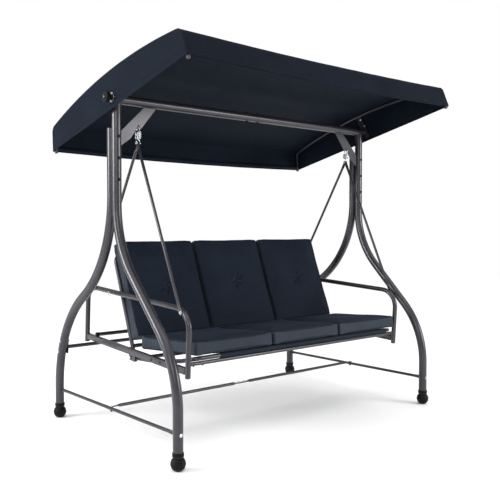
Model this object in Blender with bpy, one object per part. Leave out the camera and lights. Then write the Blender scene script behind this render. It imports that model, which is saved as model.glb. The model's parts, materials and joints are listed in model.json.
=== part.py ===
"""Canopy swing bench: a steel tube stand, a hanging three-seat bench and a tilting canopy.

Metres, +Z up. X runs along the bench, with +X on the right seen from the front, and the
front faces -Y. The origin is on the ground, under the middle of the whole swing.
The bench hangs from two springs, its backrest folds back to make a bed, and the canopy
turns on two clamp knobs. Each moving group is parented to an empty on its own axis.
"""
import math

import bmesh
import bpy
from mathutils import Matrix, Vector

GAP = 0.0003                    # left between pieces that touch
MIDDLE_Y = 0.0111               # moves the whole swing so that its middle is over the origin

# Stand
FOOT_X = 0.85                   # middle plane of each pair of legs
FRONT_FOOT_Y = -0.507
REAR_FOOT_Y = 0.585
POST_RADIUS = 0.022
POST_OFFSET = 0.0225            # each post's distance from the plane between the two
BEAM_Z = 1.597
POST_JOINT_Z = 1.256            # where the top frame plugs onto the front legs
REAR_POST_TOP_Z = 1.467
LEG_BOTTOM_Z = 0.058
FRONT_LEG = {"start_z": 0.238, "bend": 44.4, "radius": 0.468}
REAR_LEG = {"start_z": 0.170, "bend": 58.0, "radius": 0.580}
FOOT_RADIUS = 0.033
STRETCHER_RADIUS = 0.008
STRETCHER_Z = 0.152
LONG_STRETCHER_Y = 0.039
CROSSBAR_RADIUS = 0.010
CROSSBAR_Y = 0.548
CROSSBAR_Z = 0.378
SADDLE = 0.003                  # plate between the crossbar and each rear leg
BEAM_JOINT_X = -0.001
LONG_JOINT_X = -0.047

# Hanging bench, in a level frame (x, u, w) whose origin is the swing axis
SWING_AXIS = (-POST_OFFSET, 1.486)
SEAT_TILT = 3.3                 # degrees that the bench hangs front down
SPRING_X = 0.733
WIRE_RADIUS = 0.0021
TOP_HOOK_RADIUS = 0.0125
LOW_HOOK_RADIUS = 0.0095
COIL_TOP = -0.026
COIL_BOTTOM = -0.063
COIL_RADIUS = 0.0125
COIL_TURNS = 6
COIL_STEPS = 8                  # points along each turn
HANGER_HOLE_W = -0.0825
ARM_X = 0.72                    # middle plane of each armrest
ARM_RADIUS = 0.0125
ARM_FRONT_U = -0.438
ARM_REAR_U = 0.480
ARM_TOP_W = -0.8175
ARM_BOTTOM_W = -1.113
ARM_FRONT_BEND = 0.095
ARM_REAR_BEND = 0.075
RAIL_W = -1.0855
RAIL_HALF_HEIGHT = 0.015
RAIL_HALF_WIDTH = 0.010
FRONT_RAIL = (-0.4360, -1.0543)
TUBE_RADIUS = 0.010             # tubes of the seat pan, the backrest and the rest bar
PAN_X = 0.685
PAN_FRONT = (-0.4377, -1.0325)
PAN_REAR = (0.010, -1.1190)
REST_BAR = (0.372, RAIL_W + RAIL_HALF_HEIGHT + TUBE_RADIUS + GAP)
REST_BAR_HALF = ARM_X + 0.004
SEAT_HALF_WIDTH = 0.700
SEAT_FRONT_BOTTOM = (-0.4668, -1.0145)
SEAT_LENGTH = 0.465
SEAT_THICKNESS = 0.066
SEAT_SLOPE = 6.9                # degrees that the seat cushion falls towards the back
LOCK_PIN_U = 0.225

# Backrest, in its own frame (x, n, h): n points backwards, h runs up the back
BACK_HINGE = (0.0581, -1.1212)
BACK_ANGLE = 24.1               # degrees from upright, in the bench's level frame
BACK_TOP_H = 0.540
BACK_LOW_H = 0.055
BACK_TAIL_H = -0.024
HINGE_PLATE = 0.003
HINGE_PIN_RADIUS = 0.0040
HINGE_HOLE = 0.0044
CUSHION_LOW_H = 0.0757
CUSHION_TOP_H = 0.587
CUSHION_FRONT_N = -0.0825
CUSHION_REAR_N = -0.0135

# Canopy, in its own frame (x, u, w) whose origin is the canopy axis
CANOPY_AXIS = (-0.050, BEAM_Z)
CANOPY_TILT = 13.3              # degrees that the canopy falls towards the back
CANOPY_HALF_LENGTH = 0.890
CLOTH = 0.003
ROOF_FRONT = (-0.572, 0.068)
ROOF_REAR = (0.610, 0.068)
ROOF_RISE = 0.0555
HEM_FRONT = (-0.590, -0.052)
HEM_REAR = (0.632, -0.052)
ROOF_CORNER = 0.028             # rounding of the roof's front and rear edges
ROOF_EDGE = 0.045               # length of the roof's arc left for each rounding
CANOPY_SAG = 0.012
CANOPY_TUBE = 0.008
ARCH_X = CANOPY_HALF_LENGTH - CLOTH - 0.0005 - CANOPY_TUBE
BRACKET = 0.003
STRAP = 0.003
PIVOT_RADIUS = 0.0040
PIVOT_HOLE = 0.0045
KNOB_START = CANOPY_HALF_LENGTH + 0.0020

SIDES = {"left": -1, "right": 1}


# ---------------------------------------------------------------- helpers

def clear_scene():
    for item in list(bpy.data.objects):
        bpy.data.objects.remove(item, do_unlink=True)


def material(name, colour, roughness, metallic=0.0):
    made = bpy.data.materials.new(name)
    made.use_nodes = True
    shader = made.node_tree.nodes["Principled BSDF"]
    shader.inputs["Base Color"].default_value = (*colour, 1.0)
    shader.inputs["Roughness"].default_value = roughness
    shader.inputs["Metallic"].default_value = metallic
    return made


def steel(name):
    return material(name + "_paint", (0.10, 0.10, 0.108), 0.38, 0.6)


def zinc(name):
    return material(name + "_zinc", (0.62, 0.64, 0.66), 0.30, 1.0)


def plastic(name):
    return material(name + "_plastic", (0.012, 0.012, 0.013), 0.45)


def fabric(name):
    return material(name + "_fabric", (0.017, 0.024, 0.036), 0.85)


def empty(name, location, parent=None, turn_x=0.0):
    made = bpy.data.objects.new(name, None)
    made.location = location
    made.rotation_euler = (math.radians(turn_x), 0.0, 0.0)
    made.parent = parent
    bpy.context.scene.collection.objects.link(made)
    return made


def add(name, data, finish, parent):
    """Link one named object, in its parent's frame."""
    made = bpy.data.objects.new(name, data)
    data.materials.append(finish)
    made.parent = parent
    bpy.context.scene.collection.objects.link(made)
    return made


def add_mesh(name, piece, finish, parent, smooth=35.0):
    """One object from a bmesh, which is used up."""
    mesh = as_mesh(piece, name)
    mesh.shade_smooth()
    mesh.set_sharp_from_angle(angle=math.radians(smooth))
    return add(name, mesh, finish, parent)


def tube(name, points, radius, finish, parent, sides=12):
    """A round bar along a line of points, mitred at each bend, with closed ends."""
    return add_mesh(name, swept(points, radius, sides), finish, parent)


def swept(points, radius, sides):
    points = [Vector(point) for point in points]
    before = (points[1] - points[0]).normalized()
    across = before.orthogonal().normalized()
    rings = []
    for i, point in enumerate(points):
        ahead = (points[min(i + 1, len(points) - 1)] - points[min(i, len(points) - 2)]).normalized()
        across = (before.rotation_difference(ahead) @ across).normalized()
        mitre = (before + ahead).normalized()
        ring = []
        for j in range(sides):
            angle = 2 * math.pi * (j + 0.5) / sides
            spoke = radius * (math.cos(angle) * across + math.sin(angle) * ahead.cross(across))
            ring.append(point + spoke - ahead * (spoke.dot(mitre) / ahead.dot(mitre)))
        rings.append(ring)
        before = ahead
    return loft(rings)


def loft(rings):
    """A closed solid through rings of points that all have the same count."""
    made = bmesh.new()
    rows = [[made.verts.new(point) for point in ring] for ring in rings]
    count = len(rows[0])
    for low, high in zip(rows, rows[1:]):
        for i in range(count):
            j = (i + 1) % count
            made.faces.new((low[i], low[j], high[j], high[i]))
    made.faces.new(rows[0][::-1])
    made.faces.new(rows[-1])
    return made


def turned(origin, axis, profile, segments=10, waves=0, depth=0.0):
    """A solid of revolution: profile is (distance along the axis, radius) pairs."""
    turn = Vector(axis).to_track_quat("Z", "Y").to_matrix()
    rings = []
    for distance, radius in profile:
        ring = []
        for i in range(segments):
            angle = 2 * math.pi * i / segments
            reach = radius * (1 + depth * math.cos(waves * angle))
            local = Vector((reach * math.cos(angle), reach * math.sin(angle), distance))
            ring.append(Vector(origin) + turn @ local)
        rings.append(ring)
    return loft(rings)


def plate(outline, x, thickness):
    """A flat plate across X: outline is (y, z) pairs, x its middle."""
    faces = [[(x + side * thickness / 2, y, z) for y, z in outline] for side in (-1, 1)]
    return loft(faces)


def block(low, high):
    made = bmesh.new()
    bmesh.ops.create_cube(made, size=1.0)
    size = [b - a for a, b in zip(low, high)]
    middle = [(a + b) / 2 for a, b in zip(low, high)]
    bmesh.ops.transform(made, matrix=Matrix.LocRotScale(middle, None, size), verts=made.verts)
    return made


def arc(centre, radius, start, end, steps):
    """Points (a, b) on an arc, its angles in degrees from the first axis."""
    made = []
    for i in range(steps + 1):
        angle = math.radians(start + (end - start) * i / steps)
        made.append((centre[0] + radius * math.cos(angle), centre[1] + radius * math.sin(angle)))
    return made


def at_x(x, pairs):
    return [(x, a, b) for a, b in pairs]


def combine(target, piece, name, operation):
    """Cut a hole in an object, or weld a piece to it, with a hidden helper."""
    helper = bpy.data.objects.new(name, as_mesh(piece, name))
    helper.parent = target.parent
    helper.hide_render = True
    helper.display_type = "WIRE"
    bpy.context.scene.collection.objects.link(helper)
    modifier = target.modifiers.new(name, "BOOLEAN")
    modifier.operation = operation
    modifier.object = helper


def cut(target, piece, name):
    combine(target, piece, name, "DIFFERENCE")


def weld(target, piece, name):
    combine(target, piece, name, "UNION")


def hole(at, radius, sides=12):
    """A drill across X through a point, for cutting."""
    start = (at[0] - 0.02, at[1], at[2])
    return turned(start, (1, 0, 0), ((0, radius), (0.04, radius)), sides)


def as_mesh(piece, name):
    mesh = bpy.data.meshes.new(name)
    bmesh.ops.recalc_face_normals(piece, faces=piece.faces)
    piece.to_mesh(mesh)
    piece.free()
    return mesh


def flat_ended_bar(start, end, normal, radius, flat=0.030, width=0.0095, thickness=0.0015):
    """A tube whose two ends are pressed flat, square to the given normal."""
    start, end = Vector(start), Vector(end)
    along = (end - start).normalized()
    across = along.cross(Vector(normal)).normalized()
    out = across.cross(along)
    length = (end - start).length
    shape = (
        (0.0, width * 0.6, thickness, 0.35),
        (0.004, width, thickness, 0.35),
        (flat, width, thickness, 0.35),
        (flat + 0.018, radius, radius, 1.0),
    )
    stations = list(shape) + [(length - d, w, t, p) for d, w, t, p in reversed(shape)]
    rings = []
    for distance, half_width, half_thick, power in stations:
        ring = []
        for i in range(12):
            angle = 2 * math.pi * (i + 0.5) / 12
            side = math.copysign(abs(math.cos(angle)) ** (0.5 + 0.5 * power), math.cos(angle))
            face = math.copysign(abs(math.sin(angle)) ** power, math.sin(angle))
            ring.append(start + along * distance + across * side * half_width + out * face * half_thick)
        rings.append(ring)
    return loft(rings)


# ---------------------------------------------------------------- stand

def leg_path(foot_y, post_y, start_z, bend, radius, top_z):
    """Upright foot, an outward bow, a slope and a second bow up to the post."""
    out = math.copysign(1.0, foot_y)
    angle = math.radians(bend)
    slope = (abs(foot_y - post_y) - 2 * radius * (1 - math.cos(angle))) / math.sin(angle)
    end_z = start_z + 2 * radius * math.sin(angle) + slope * math.cos(angle)
    path = [(foot_y, LEG_BOTTOM_Z)]
    for y, z in arc((radius, 0.0), radius, 180, 180 - bend, 6):
        path.append((foot_y - out * y, start_z + z))
    for y, z in arc((radius, 0.0), radius, 180 - bend, 180, 6):
        path.append((post_y + out * y, end_z - z))
    path.append((post_y, top_z))
    return path


def rear_leg_y(z):
    """The rear leg's middle, in its lower bow."""
    radius = REAR_LEG["radius"]
    return REAR_FOOT_Y - radius + math.sqrt(radius ** 2 - (z - REAR_LEG["start_z"]) ** 2)


def build_legs(stand):
    for side, sign in SIDES.items():
        x = sign * FOOT_X
        front = leg_path(FRONT_FOOT_Y, -POST_OFFSET, **FRONT_LEG, top_z=POST_JOINT_Z - GAP)
        rear = leg_path(REAR_FOOT_Y, POST_OFFSET, **REAR_LEG, top_z=REAR_POST_TOP_Z)
        for place, path in (("front", front), ("rear", rear)):
            name = f"leg_{place}_{side}"
            tube(name, at_x(x, path), POST_RADIUS, steel(name), stand, 16)
        cap_at = (x, POST_OFFSET, REAR_POST_TOP_Z + GAP)
        cap = turned(cap_at, (0, 0, 1), ((0, 0.0195), (0.003, 0.0195), (0.006, 0.014)), 16)
        name = f"post_cap_{side}"
        add_mesh(name, cap, plastic(name), stand)
        for place, y in (("front", FRONT_FOOT_Y), ("rear", REAR_FOOT_Y)):
            name = f"foot_{place}_{side}"
            add_mesh(name, foot((x, y, 0.0)), plastic(name), stand, 50.0)


def foot(at):
    """A ball on a small flat, with a collar that the leg stands in."""
    rim = POST_RADIUS + GAP
    profile = []
    for step in range(6):
        angle = math.radians(-68 + 26 * step)
        profile.append((FOOT_RADIUS * (math.sin(angle) + math.sin(math.radians(68))),
                        FOOT_RADIUS * math.cos(angle)))
    profile += [(0.060, 0.0250), (0.078, 0.0245), (0.078, rim), (LEG_BOTTOM_Z - GAP, rim)]
    return turned(at, (0, 0, 1), profile, 14)


def build_top_frame(stand):
    """Two halves of the top beam, each welded to the top of a front post."""
    for side, sign in SIDES.items():
        name = f"top_frame_{side}"
        joint = BEAM_JOINT_X + sign * GAP / 2
        start = (joint, -POST_OFFSET, BEAM_Z)
        length = FOOT_X + POST_RADIUS - sign * joint
        beam = turned(start, (sign, 0, 0), ((0, POST_RADIUS), (length, POST_RADIUS)), 20)
        made = add_mesh(name, beam, steel(name), stand)
        post_low = (sign * FOOT_X, -POST_OFFSET, POST_JOINT_Z)
        height = BEAM_Z - POST_JOINT_Z
        post = turned(post_low, (0, 0, 1), ((0, POST_RADIUS), (height, POST_RADIUS * 0.999)), 16)
        weld(made, post, name + "_post")


def build_gussets(stand):
    """Flat corner braces that carry the springs through a hole near their inner edge."""
    inner_z = BEAM_Z - POST_RADIUS - GAP
    post_x = FOOT_X - POST_RADIUS - GAP
    outline = ((0.701, inner_z), (0.636, inner_z), (0.716, 1.476), (0.744, 1.4700),
               (0.775, 1.425), (post_x, 1.385), (post_x, 1.453))
    for side, sign in SIDES.items():
        name = f"gusset_{side}"
        faces = [[(sign * x, -POST_OFFSET + edge, z) for x, z in outline] for edge in (-0.002, 0.002)]
        made = add_mesh(name, loft(faces), steel(name), stand)
        start = (sign * SPRING_X, -POST_OFFSET - 0.01, SWING_AXIS[1])
        drill = turned(start, (0, 1, 0), ((0, 0.0055), (0.02, 0.0055)), 12)
        cut(made, drill, name + "_hole")


def build_stretchers(stand):
    for side, sign in SIDES.items():
        x = sign * FOOT_X
        front = (x, FRONT_FOOT_Y + POST_RADIUS + GAP, STRETCHER_Z)
        rear = (x, REAR_FOOT_Y - POST_RADIUS - GAP, STRETCHER_Z)
        name = f"side_stretcher_{side}"
        bar = flat_ended_bar(front, rear, (1, 0, 0), STRETCHER_RADIUS, 0.012)
        add_mesh(name, bar, steel(name), stand)
        joint = LONG_JOINT_X + sign * GAP / 2
        z = STRETCHER_Z + STRETCHER_RADIUS + GAP + 0.0015
        name = f"long_stretcher_{side}"
        outer = sign * (FOOT_X + 0.012)
        bar = flat_ended_bar((outer, LONG_STRETCHER_Y, z), (joint, LONG_STRETCHER_Y, z), (0, 0, 1),
                             STRETCHER_RADIUS, 0.040)
        add_mesh(name, bar, steel(name), stand)
    x = FOOT_X - POST_RADIUS - SADDLE - 2 * GAP
    ends = ((0, CROSSBAR_RADIUS), (2 * x, CROSSBAR_RADIUS))
    bar = turned((-x, CROSSBAR_Y, CROSSBAR_Z), (1, 0, 0), ends, 12)
    add_mesh("rear_crossbar", bar, steel("rear_crossbar"), stand)
    for side, sign in SIDES.items():
        middle = rear_leg_y(CROSSBAR_Z)
        inside = sign * (FOOT_X - POST_RADIUS - GAP - SADDLE / 2)
        outline = [(middle - 0.014, 0.345), (middle + 0.016, 0.345),
                   (middle + 0.010, 0.425), (middle - 0.020, 0.425)]
        name = f"crossbar_saddle_{side}"
        add_mesh(name, plate(outline, inside, SADDLE), steel(name), stand)


def build_pivot_brackets(stand):
    """Plates on the beam's ends that carry the canopy's pivot bolts."""
    for side, sign in SIDES.items():
        outline = arc((-POST_OFFSET, BEAM_Z), 0.0195, -90, 90, 8)
        outline += arc(CANOPY_AXIS, 0.016, 90, 270, 8)
        x = sign * (FOOT_X + POST_RADIUS + GAP + BRACKET / 2)
        name = f"pivot_bracket_{side}"
        made = add_mesh(name, plate(outline, x, BRACKET), steel(name), stand)
        cut(made, hole((x, *CANOPY_AXIS), PIVOT_HOLE), name + "_hole")


def build_pivot_bolts(stand):
    """The canopy turns on these: each is stepped to space the bracket, the strap and the cloth."""
    bracket_in = FOOT_X + POST_RADIUS + GAP
    bracket_out = bracket_in + BRACKET
    strap_in, strap_out = ARCH_X - STRAP / 2, ARCH_X + STRAP / 2
    cloth_in = CANOPY_HALF_LENGTH - CLOTH
    steps = (
        (bracket_in - 0.0055, bracket_in - GAP, 0.0052),
        (bracket_in - GAP, bracket_out + GAP, PIVOT_RADIUS),
        (bracket_out + GAP, strap_in - GAP, 0.0105),
        (strap_in - GAP, strap_out + GAP, PIVOT_RADIUS),
        (strap_out + GAP, cloth_in - GAP, 0.0100),
        (cloth_in - GAP, KNOB_START - GAP, PIVOT_RADIUS),
    )
    for side, sign in SIDES.items():
        profile = []
        for start, end, radius in steps:
            profile += [(start, radius), (end, radius)]
        name = f"canopy_pivot_{side}"
        bolt = turned((0, *CANOPY_AXIS), (sign, 0, 0), profile, 12)
        add_mesh(name, bolt, zinc(name), stand)


# ---------------------------------------------------------------- hanging bench

def build_springs(seat):
    """Zinc extension springs: the top hook turns in the gusset, the low one carries the arms."""
    for side, sign in SIDES.items():
        x = sign * SPRING_X
        path = []
        top = (0.0, -TOP_HOOK_RADIUS)
        for u, w in arc(top, TOP_HOOK_RADIUS, -60, 245, 12):
            path.append((x, u, w))
        steps = COIL_TURNS * COIL_STEPS
        for i in range(steps + 1):
            angle = math.radians(240 + 360 * i / COIL_STEPS)
            drop = COIL_TOP - 0.003 - (COIL_TOP - 0.006 - COIL_BOTTOM) * i / steps
            path.append((x + COIL_RADIUS * math.cos(angle), COIL_RADIUS * math.sin(angle), drop))
        low = (x, COIL_BOTTOM - LOW_HOOK_RADIUS)
        for a, w in arc(low, LOW_HOOK_RADIUS, 110, -190, 10):
            path.append((a, 0.0, w))
        name = f"spring_{side}"
        tube(name, path, WIRE_RADIUS, zinc(name), seat, 5)


def arm_path():
    """The armrest hoop, from the foot of its front leg to the foot of its rear one."""
    front = (ARM_FRONT_U + ARM_FRONT_BEND, ARM_TOP_W - ARM_FRONT_BEND)
    rear = (ARM_REAR_U - ARM_REAR_BEND, ARM_TOP_W - ARM_REAR_BEND)
    path = [(ARM_FRONT_U, ARM_BOTTOM_W)]
    path += arc(front, ARM_FRONT_BEND, 180, 90, 7)
    path += arc(rear, ARM_REAR_BEND, 90, 0, 7)
    path.append((ARM_REAR_U, ARM_BOTTOM_W))
    return path


def hanger_feet():
    """Where the two arms of a hanger are bolted to the armrest: on its front bend and top."""
    angle = math.radians(119.6)
    front = (ARM_FRONT_U + ARM_FRONT_BEND * (1 + math.cos(angle)),
             ARM_TOP_W - ARM_FRONT_BEND * (1 - math.sin(angle)))
    return front, (0.385, ARM_TOP_W)


def build_hangers(seat):
    foot_x = ARM_X + ARM_RADIUS + GAP + 0.0015
    for side, sign in SIDES.items():
        for place, shift, low in zip(("front", "rear"), (0.0020, -0.0020), hanger_feet()):
            top = Vector((sign * (SPRING_X + shift), 0.0, HANGER_HOLE_W))
            bottom = Vector((sign * foot_x, *low))
            along = (bottom - top).normalized()
            name = f"hanger_{place}_{side}"
            ends = (top - along * 0.009, bottom + along * 0.012)
            bar = flat_ended_bar(*ends, (1, 0, 0), 0.007, 0.038)
            made = add_mesh(name, bar, steel(name), seat)
            cut(made, hole(top, 0.005, 10), name + "_hole")


def build_armrests(seat):
    for side, sign in SIDES.items():
        x = sign * ARM_X
        name = f"armrest_{side}"
        made = tube(name, at_x(x, arm_path()), ARM_RADIUS, steel(name), seat, 12)
        cut(made, hole((x, LOCK_PIN_U, ARM_TOP_W), 0.0036, 8), name + "_hole")
        rail_low = (x - RAIL_HALF_WIDTH, ARM_FRONT_U + ARM_RADIUS + GAP, RAIL_W - RAIL_HALF_HEIGHT)
        rail_high = (x + RAIL_HALF_WIDTH, ARM_REAR_U - ARM_RADIUS - GAP, RAIL_W + RAIL_HALF_HEIGHT)
        name = f"side_rail_{side}"
        add_mesh(name, block(rail_low, rail_high), steel(name), seat)


def crosstube(a, b):
    """A tube between the middles of two side tubes."""
    return turned((-PAN_X, a, b), (1, 0, 0), ((0, TUBE_RADIUS * 0.99), (2 * PAN_X, TUBE_RADIUS * 0.99)), 12)


def build_pan(seat):
    """The seat's own frame: a front tube whose ends run back and down to the hinge plates."""
    x = ARM_X - ARM_RADIUS - GAP
    rail = turned((-x, *FRONT_RAIL), (1, 0, 0), ((0, 0.009), (2 * x, 0.009)), 12)
    add_mesh("seat_front_rail", rail, steel("seat_front_rail"), seat)
    bend = 0.035
    side = ((0.030, -1.1234), (-0.070, -1.1125), (-0.161, -1.0996), (-0.339, -1.0620))
    half = [(PAN_X, u, w) for u, w in side]
    for a, u in arc((PAN_X - bend, PAN_FRONT[0] + bend), bend, 0, -90, 4):
        half.append((a, u, PAN_FRONT[1] - 0.3 * (u - PAN_FRONT[0])))
    path = half + [(-x, u, w) for x, u, w in reversed(half)]
    frame = tube("seat_pan_frame", path, TUBE_RADIUS, steel("seat_pan_frame"), seat, 12)
    weld(frame, crosstube(*PAN_REAR), "seat_pan_crosstube")
    ends = ((0, TUBE_RADIUS), (2 * REST_BAR_HALF, TUBE_RADIUS))
    bar = turned((-REST_BAR_HALF, *REST_BAR), (1, 0, 0), ends, 12)
    add_mesh("rest_bar", bar, steel("rest_bar"), seat)


def wrapped_sheet(first, last, reach, sheet):
    """Outline (a, b) of a sheet pulled over two bars and closed round each of them.

    The sheet lies on the +b side of both bars. reach is its inner radius on the bars.
    """
    outer = reach + sheet
    slope = math.degrees(math.atan2(last[1] - first[1], last[0] - first[0]))
    made = arc(last, outer, 90 + slope, -170 + slope, 12)
    made += arc(last, reach, -170 + slope, 90 - 12 + slope, 11)
    made += arc(first, reach, 90 + 12 + slope, 350 + slope, 11)
    made += arc(first, outer, 350 + slope, 90 + slope, 12)
    return made


def build_slings(seat, back):
    reach = TUBE_RADIUS + GAP
    pan = wrapped_sheet(PAN_FRONT, PAN_REAR, reach, 0.002)
    sides = [[(x, u, w) for u, w in pan] for x in (-0.545, 0.640)]
    add_mesh("seat_sling", loft(sides), fabric("seat_sling"), seat)
    outline = wrapped_sheet((BACK_LOW_H, 0.0), (BACK_TOP_H, 0.0), reach, 0.002)
    sides = [[(x, -b, a) for a, b in outline] for x in (-0.610, 0.610)]
    add_mesh("back_sling", loft(sides), fabric("back_sling"), back)


def build_hinges(seat):
    """Plates hung from the side rails, with the stepped pins that the backrest turns on."""
    u, w = BACK_HINGE
    rail_top = RAIL_W + RAIL_HALF_HEIGHT
    plate_in = ARM_X - RAIL_HALF_WIDTH - GAP - HINGE_PLATE
    tube_in, tube_out = PAN_X - TUBE_RADIUS, PAN_X + TUBE_RADIUS
    steps = (
        (tube_in - 0.0050, tube_in - GAP, 0.0070),
        (tube_in - GAP, tube_out + GAP, HINGE_PIN_RADIUS),
        (tube_out + GAP, plate_in - GAP, 0.0075),
        (plate_in - GAP, plate_in + HINGE_PLATE + GAP, HINGE_PIN_RADIUS),
        (plate_in + HINGE_PLATE + GAP, plate_in + HINGE_PLATE + 0.0050, 0.0075),
    )
    profile = []
    for start, end, radius in steps:
        profile += [(start, radius), (end, radius)]
    outline = [(u - 0.036, rail_top), (u - 0.042, w + 0.012)]
    outline += arc((u - 0.030, w - 0.002), 0.012, 180, 270, 4)
    outline += arc((u, w), 0.014, 270, 360, 4)
    outline += [(u + 0.014, rail_top)]
    for side, sign in SIDES.items():
        name = f"hinge_plate_{side}"
        middle = sign * (plate_in + HINGE_PLATE / 2)
        made = add_mesh(name, plate(outline, middle, HINGE_PLATE), steel(name), seat)
        cut(made, hole((middle, u, w), HINGE_HOLE), name + "_hole")
        name = f"hinge_pin_{side}"
        pin = turned((0, u, w), (sign, 0, 0), profile, 12)
        add_mesh(name, pin, zinc(name), seat)


def cushion(name, low, high, parent, softness=0.014):
    made = add_mesh(name, block(low, high), fabric(name), parent, 60.0)
    edge = made.modifiers.new("rounded", "BEVEL")
    edge.width = softness
    edge.segments = 2
    return made


def build_seat_cushion(seat):
    """The long seat cushion, on an empty that gives it its slope."""
    slope = empty("seat_slope", (0.0, *SEAT_FRONT_BOTTOM), seat, -SEAT_SLOPE)
    low = (-SEAT_HALF_WIDTH, 0.0, 0.0)
    high = (SEAT_HALF_WIDTH, SEAT_LENGTH, SEAT_THICKNESS)
    cushion("seat_cushion", low, high, slope)


def build_backrest(back):
    bend = 0.055
    half = [(PAN_X, 0.0, BACK_TAIL_H)]
    for a, h in arc((PAN_X - bend, BACK_TOP_H - bend), bend, 0, 90, 6):
        half.append((a, 0.0, h))
    path = half + [(-x, n, h) for x, n, h in reversed(half)]
    frame = tube("back_frame", path, TUBE_RADIUS, steel("back_frame"), back, 12)
    weld(frame, crosstube(0.0, BACK_LOW_H), "back_crosstube")
    cut(frame, hole((-PAN_X, 0.0, 0.0), HINGE_HOLE), "hinge_hole_left")
    cut(frame, hole((PAN_X, 0.0, 0.0), HINGE_HOLE), "hinge_hole_right")
    pitch = 2 * SEAT_HALF_WIDTH / 3
    for i, place in enumerate(("left", "middle", "right")):
        x = (i - 1) * pitch
        low = (x - pitch / 2 + 0.0012, CUSHION_FRONT_N, CUSHION_LOW_H)
        high = (x + pitch / 2 - 0.0012, CUSHION_REAR_N, CUSHION_TOP_H)
        cushion(f"back_cushion_{place}", low, high, back)


def build_lock_pins(seat):
    """Pins through the armrests, each with a pull ring on its outer end."""
    inner, outer = ARM_X - ARM_RADIUS - 0.003, ARM_X + ARM_RADIUS + 0.010
    length = outer - inner
    shaft = ((0, 0.002), (0.002, 0.003), (length, 0.003), (length, 0.005), (length + 0.003, 0.005))
    radius, wire = 0.0105, 0.0013
    for side, sign in SIDES.items():
        name = f"lock_pin_{side}"
        slide = empty(f"{name}_slide", (0.0, LOCK_PIN_U, ARM_TOP_W), seat)
        made = add_mesh(name, turned((sign * inner, 0, 0), (sign, 0, 0), shaft, 8), zinc(name), slide)
        ring = bmesh.new()
        circle = arc((0.0, -radius), radius, 90, 450, 16)[:-1]
        middle_x = sign * (outer - 0.004)
        rows = []
        for y, z in circle:
            spoke = Vector((0.0, y, z + radius)).normalized()
            row = []
            for j in range(6):
                turn = 2 * math.pi * (j + 0.5) / 6
                shift = wire * (math.cos(turn) * spoke + math.sin(turn) * Vector((1, 0, 0)))
                row.append(ring.verts.new(Vector((middle_x, y, z)) + shift))
            rows.append(row)
        for low, high in zip(rows, rows[1:] + rows[:1]):
            for j in range(6):
                k = (j + 1) % 6
                ring.faces.new((low[j], low[k], high[k], high[j]))
        weld(made, ring, name + "_ring")


# ---------------------------------------------------------------- canopy

def roof_profile(inset=0.0):
    """Canopy section (u, w) from the front hem over the roof to the rear hem."""
    half = (ROOF_REAR[0] - ROOF_FRONT[0]) / 2
    radius = (half ** 2 + ROOF_RISE ** 2) / (2 * ROOF_RISE)
    middle = ((ROOF_FRONT[0] + ROOF_REAR[0]) / 2, ROOF_FRONT[1] + ROOF_RISE - radius)
    swing = math.degrees(math.asin(half / radius))
    edge = math.degrees(ROOF_EDGE / radius)
    roof = arc(middle, radius, 90 + swing - edge, 90 - swing + edge, 9)
    path = [HEM_FRONT]
    path += corner(HEM_FRONT, ROOF_FRONT, roof[0])
    path += roof[1:-1]
    path += corner(roof[-1], ROOF_REAR, HEM_REAR)
    path.append(HEM_REAR)
    return offset(path, inset)


def corner(before, at, after):
    """Round a corner with a curve that leaves each side at the rounding's distance."""
    here = Vector(at)
    first = here + (Vector(before) - here).normalized() * ROOF_CORNER
    last = here + (Vector(after) - here).normalized() * ROOF_CORNER
    made = []
    for i in range(4):
        t = i / 3
        point = first * (1 - t) ** 2 + here * 2 * t * (1 - t) + last * t ** 2
        made.append((point.x, point.y))
    return made


def offset(path, distance):
    """Move each point of an open outline inwards, to the right of its direction."""
    made = []
    for i, point in enumerate(path):
        back = Vector(path[max(i - 1, 0)])
        ahead = Vector(path[min(i + 1, len(path) - 1)])
        along = (ahead - back).normalized()
        made.append((point[0] + along.y * distance, point[1] - along.x * distance))
    return made


def sag(x):
    return -CANOPY_SAG * (1 - (x / CANOPY_HALF_LENGTH) ** 2)


def build_cover(canopy):
    """The fabric shell: roof, front and rear valances and both side panels, open below."""
    outer, inner = roof_profile(), roof_profile(CLOTH)
    rows = 8
    made = bmesh.new()
    skins = []
    for outline, reach in ((outer, CANOPY_HALF_LENGTH), (inner, CANOPY_HALF_LENGTH - CLOTH)):
        grid = []
        for i in range(rows + 1):
            x = reach * (2 * i / rows - 1)
            grid.append([made.verts.new((x, u, w + sag(x))) for u, w in outline])
        skins.append(grid)
    count = len(outer)
    for grid, flip in zip(skins, (False, True)):
        for low, high in zip(grid, grid[1:]):
            for j in range(count - 1):
                face = [low[j], low[j + 1], high[j + 1], high[j]]
                made.faces.new(face[::-1] if flip else face)
        for end, turn in ((grid[0], True), (grid[-1], False)):
            made.faces.new(end[::-1] if turn != flip else end)
    for j in (0, count - 1):
        for i in range(rows):
            a, b = skins[0][i][j], skins[0][i + 1][j]
            c, d = skins[1][i + 1][j], skins[1][i][j]
            made.faces.new((a, b, c, d))
    for i in (0, rows):
        made.faces.new((skins[0][i][0], skins[1][i][0], skins[1][i][-1], skins[0][i][-1]))
    bmesh.ops.recalc_face_normals(made, faces=made.faces)
    bmesh.ops.triangulate(made, faces=[f for f in made.faces if len(f.verts) > 4])
    cover = add_mesh("canopy_cover", made, fabric("canopy_cover"), canopy, 30.0)
    for side, sign in SIDES.items():
        cut(cover, hole((sign * CANOPY_HALF_LENGTH, 0, 0), 0.0060), f"pivot_hole_{side}")


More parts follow.
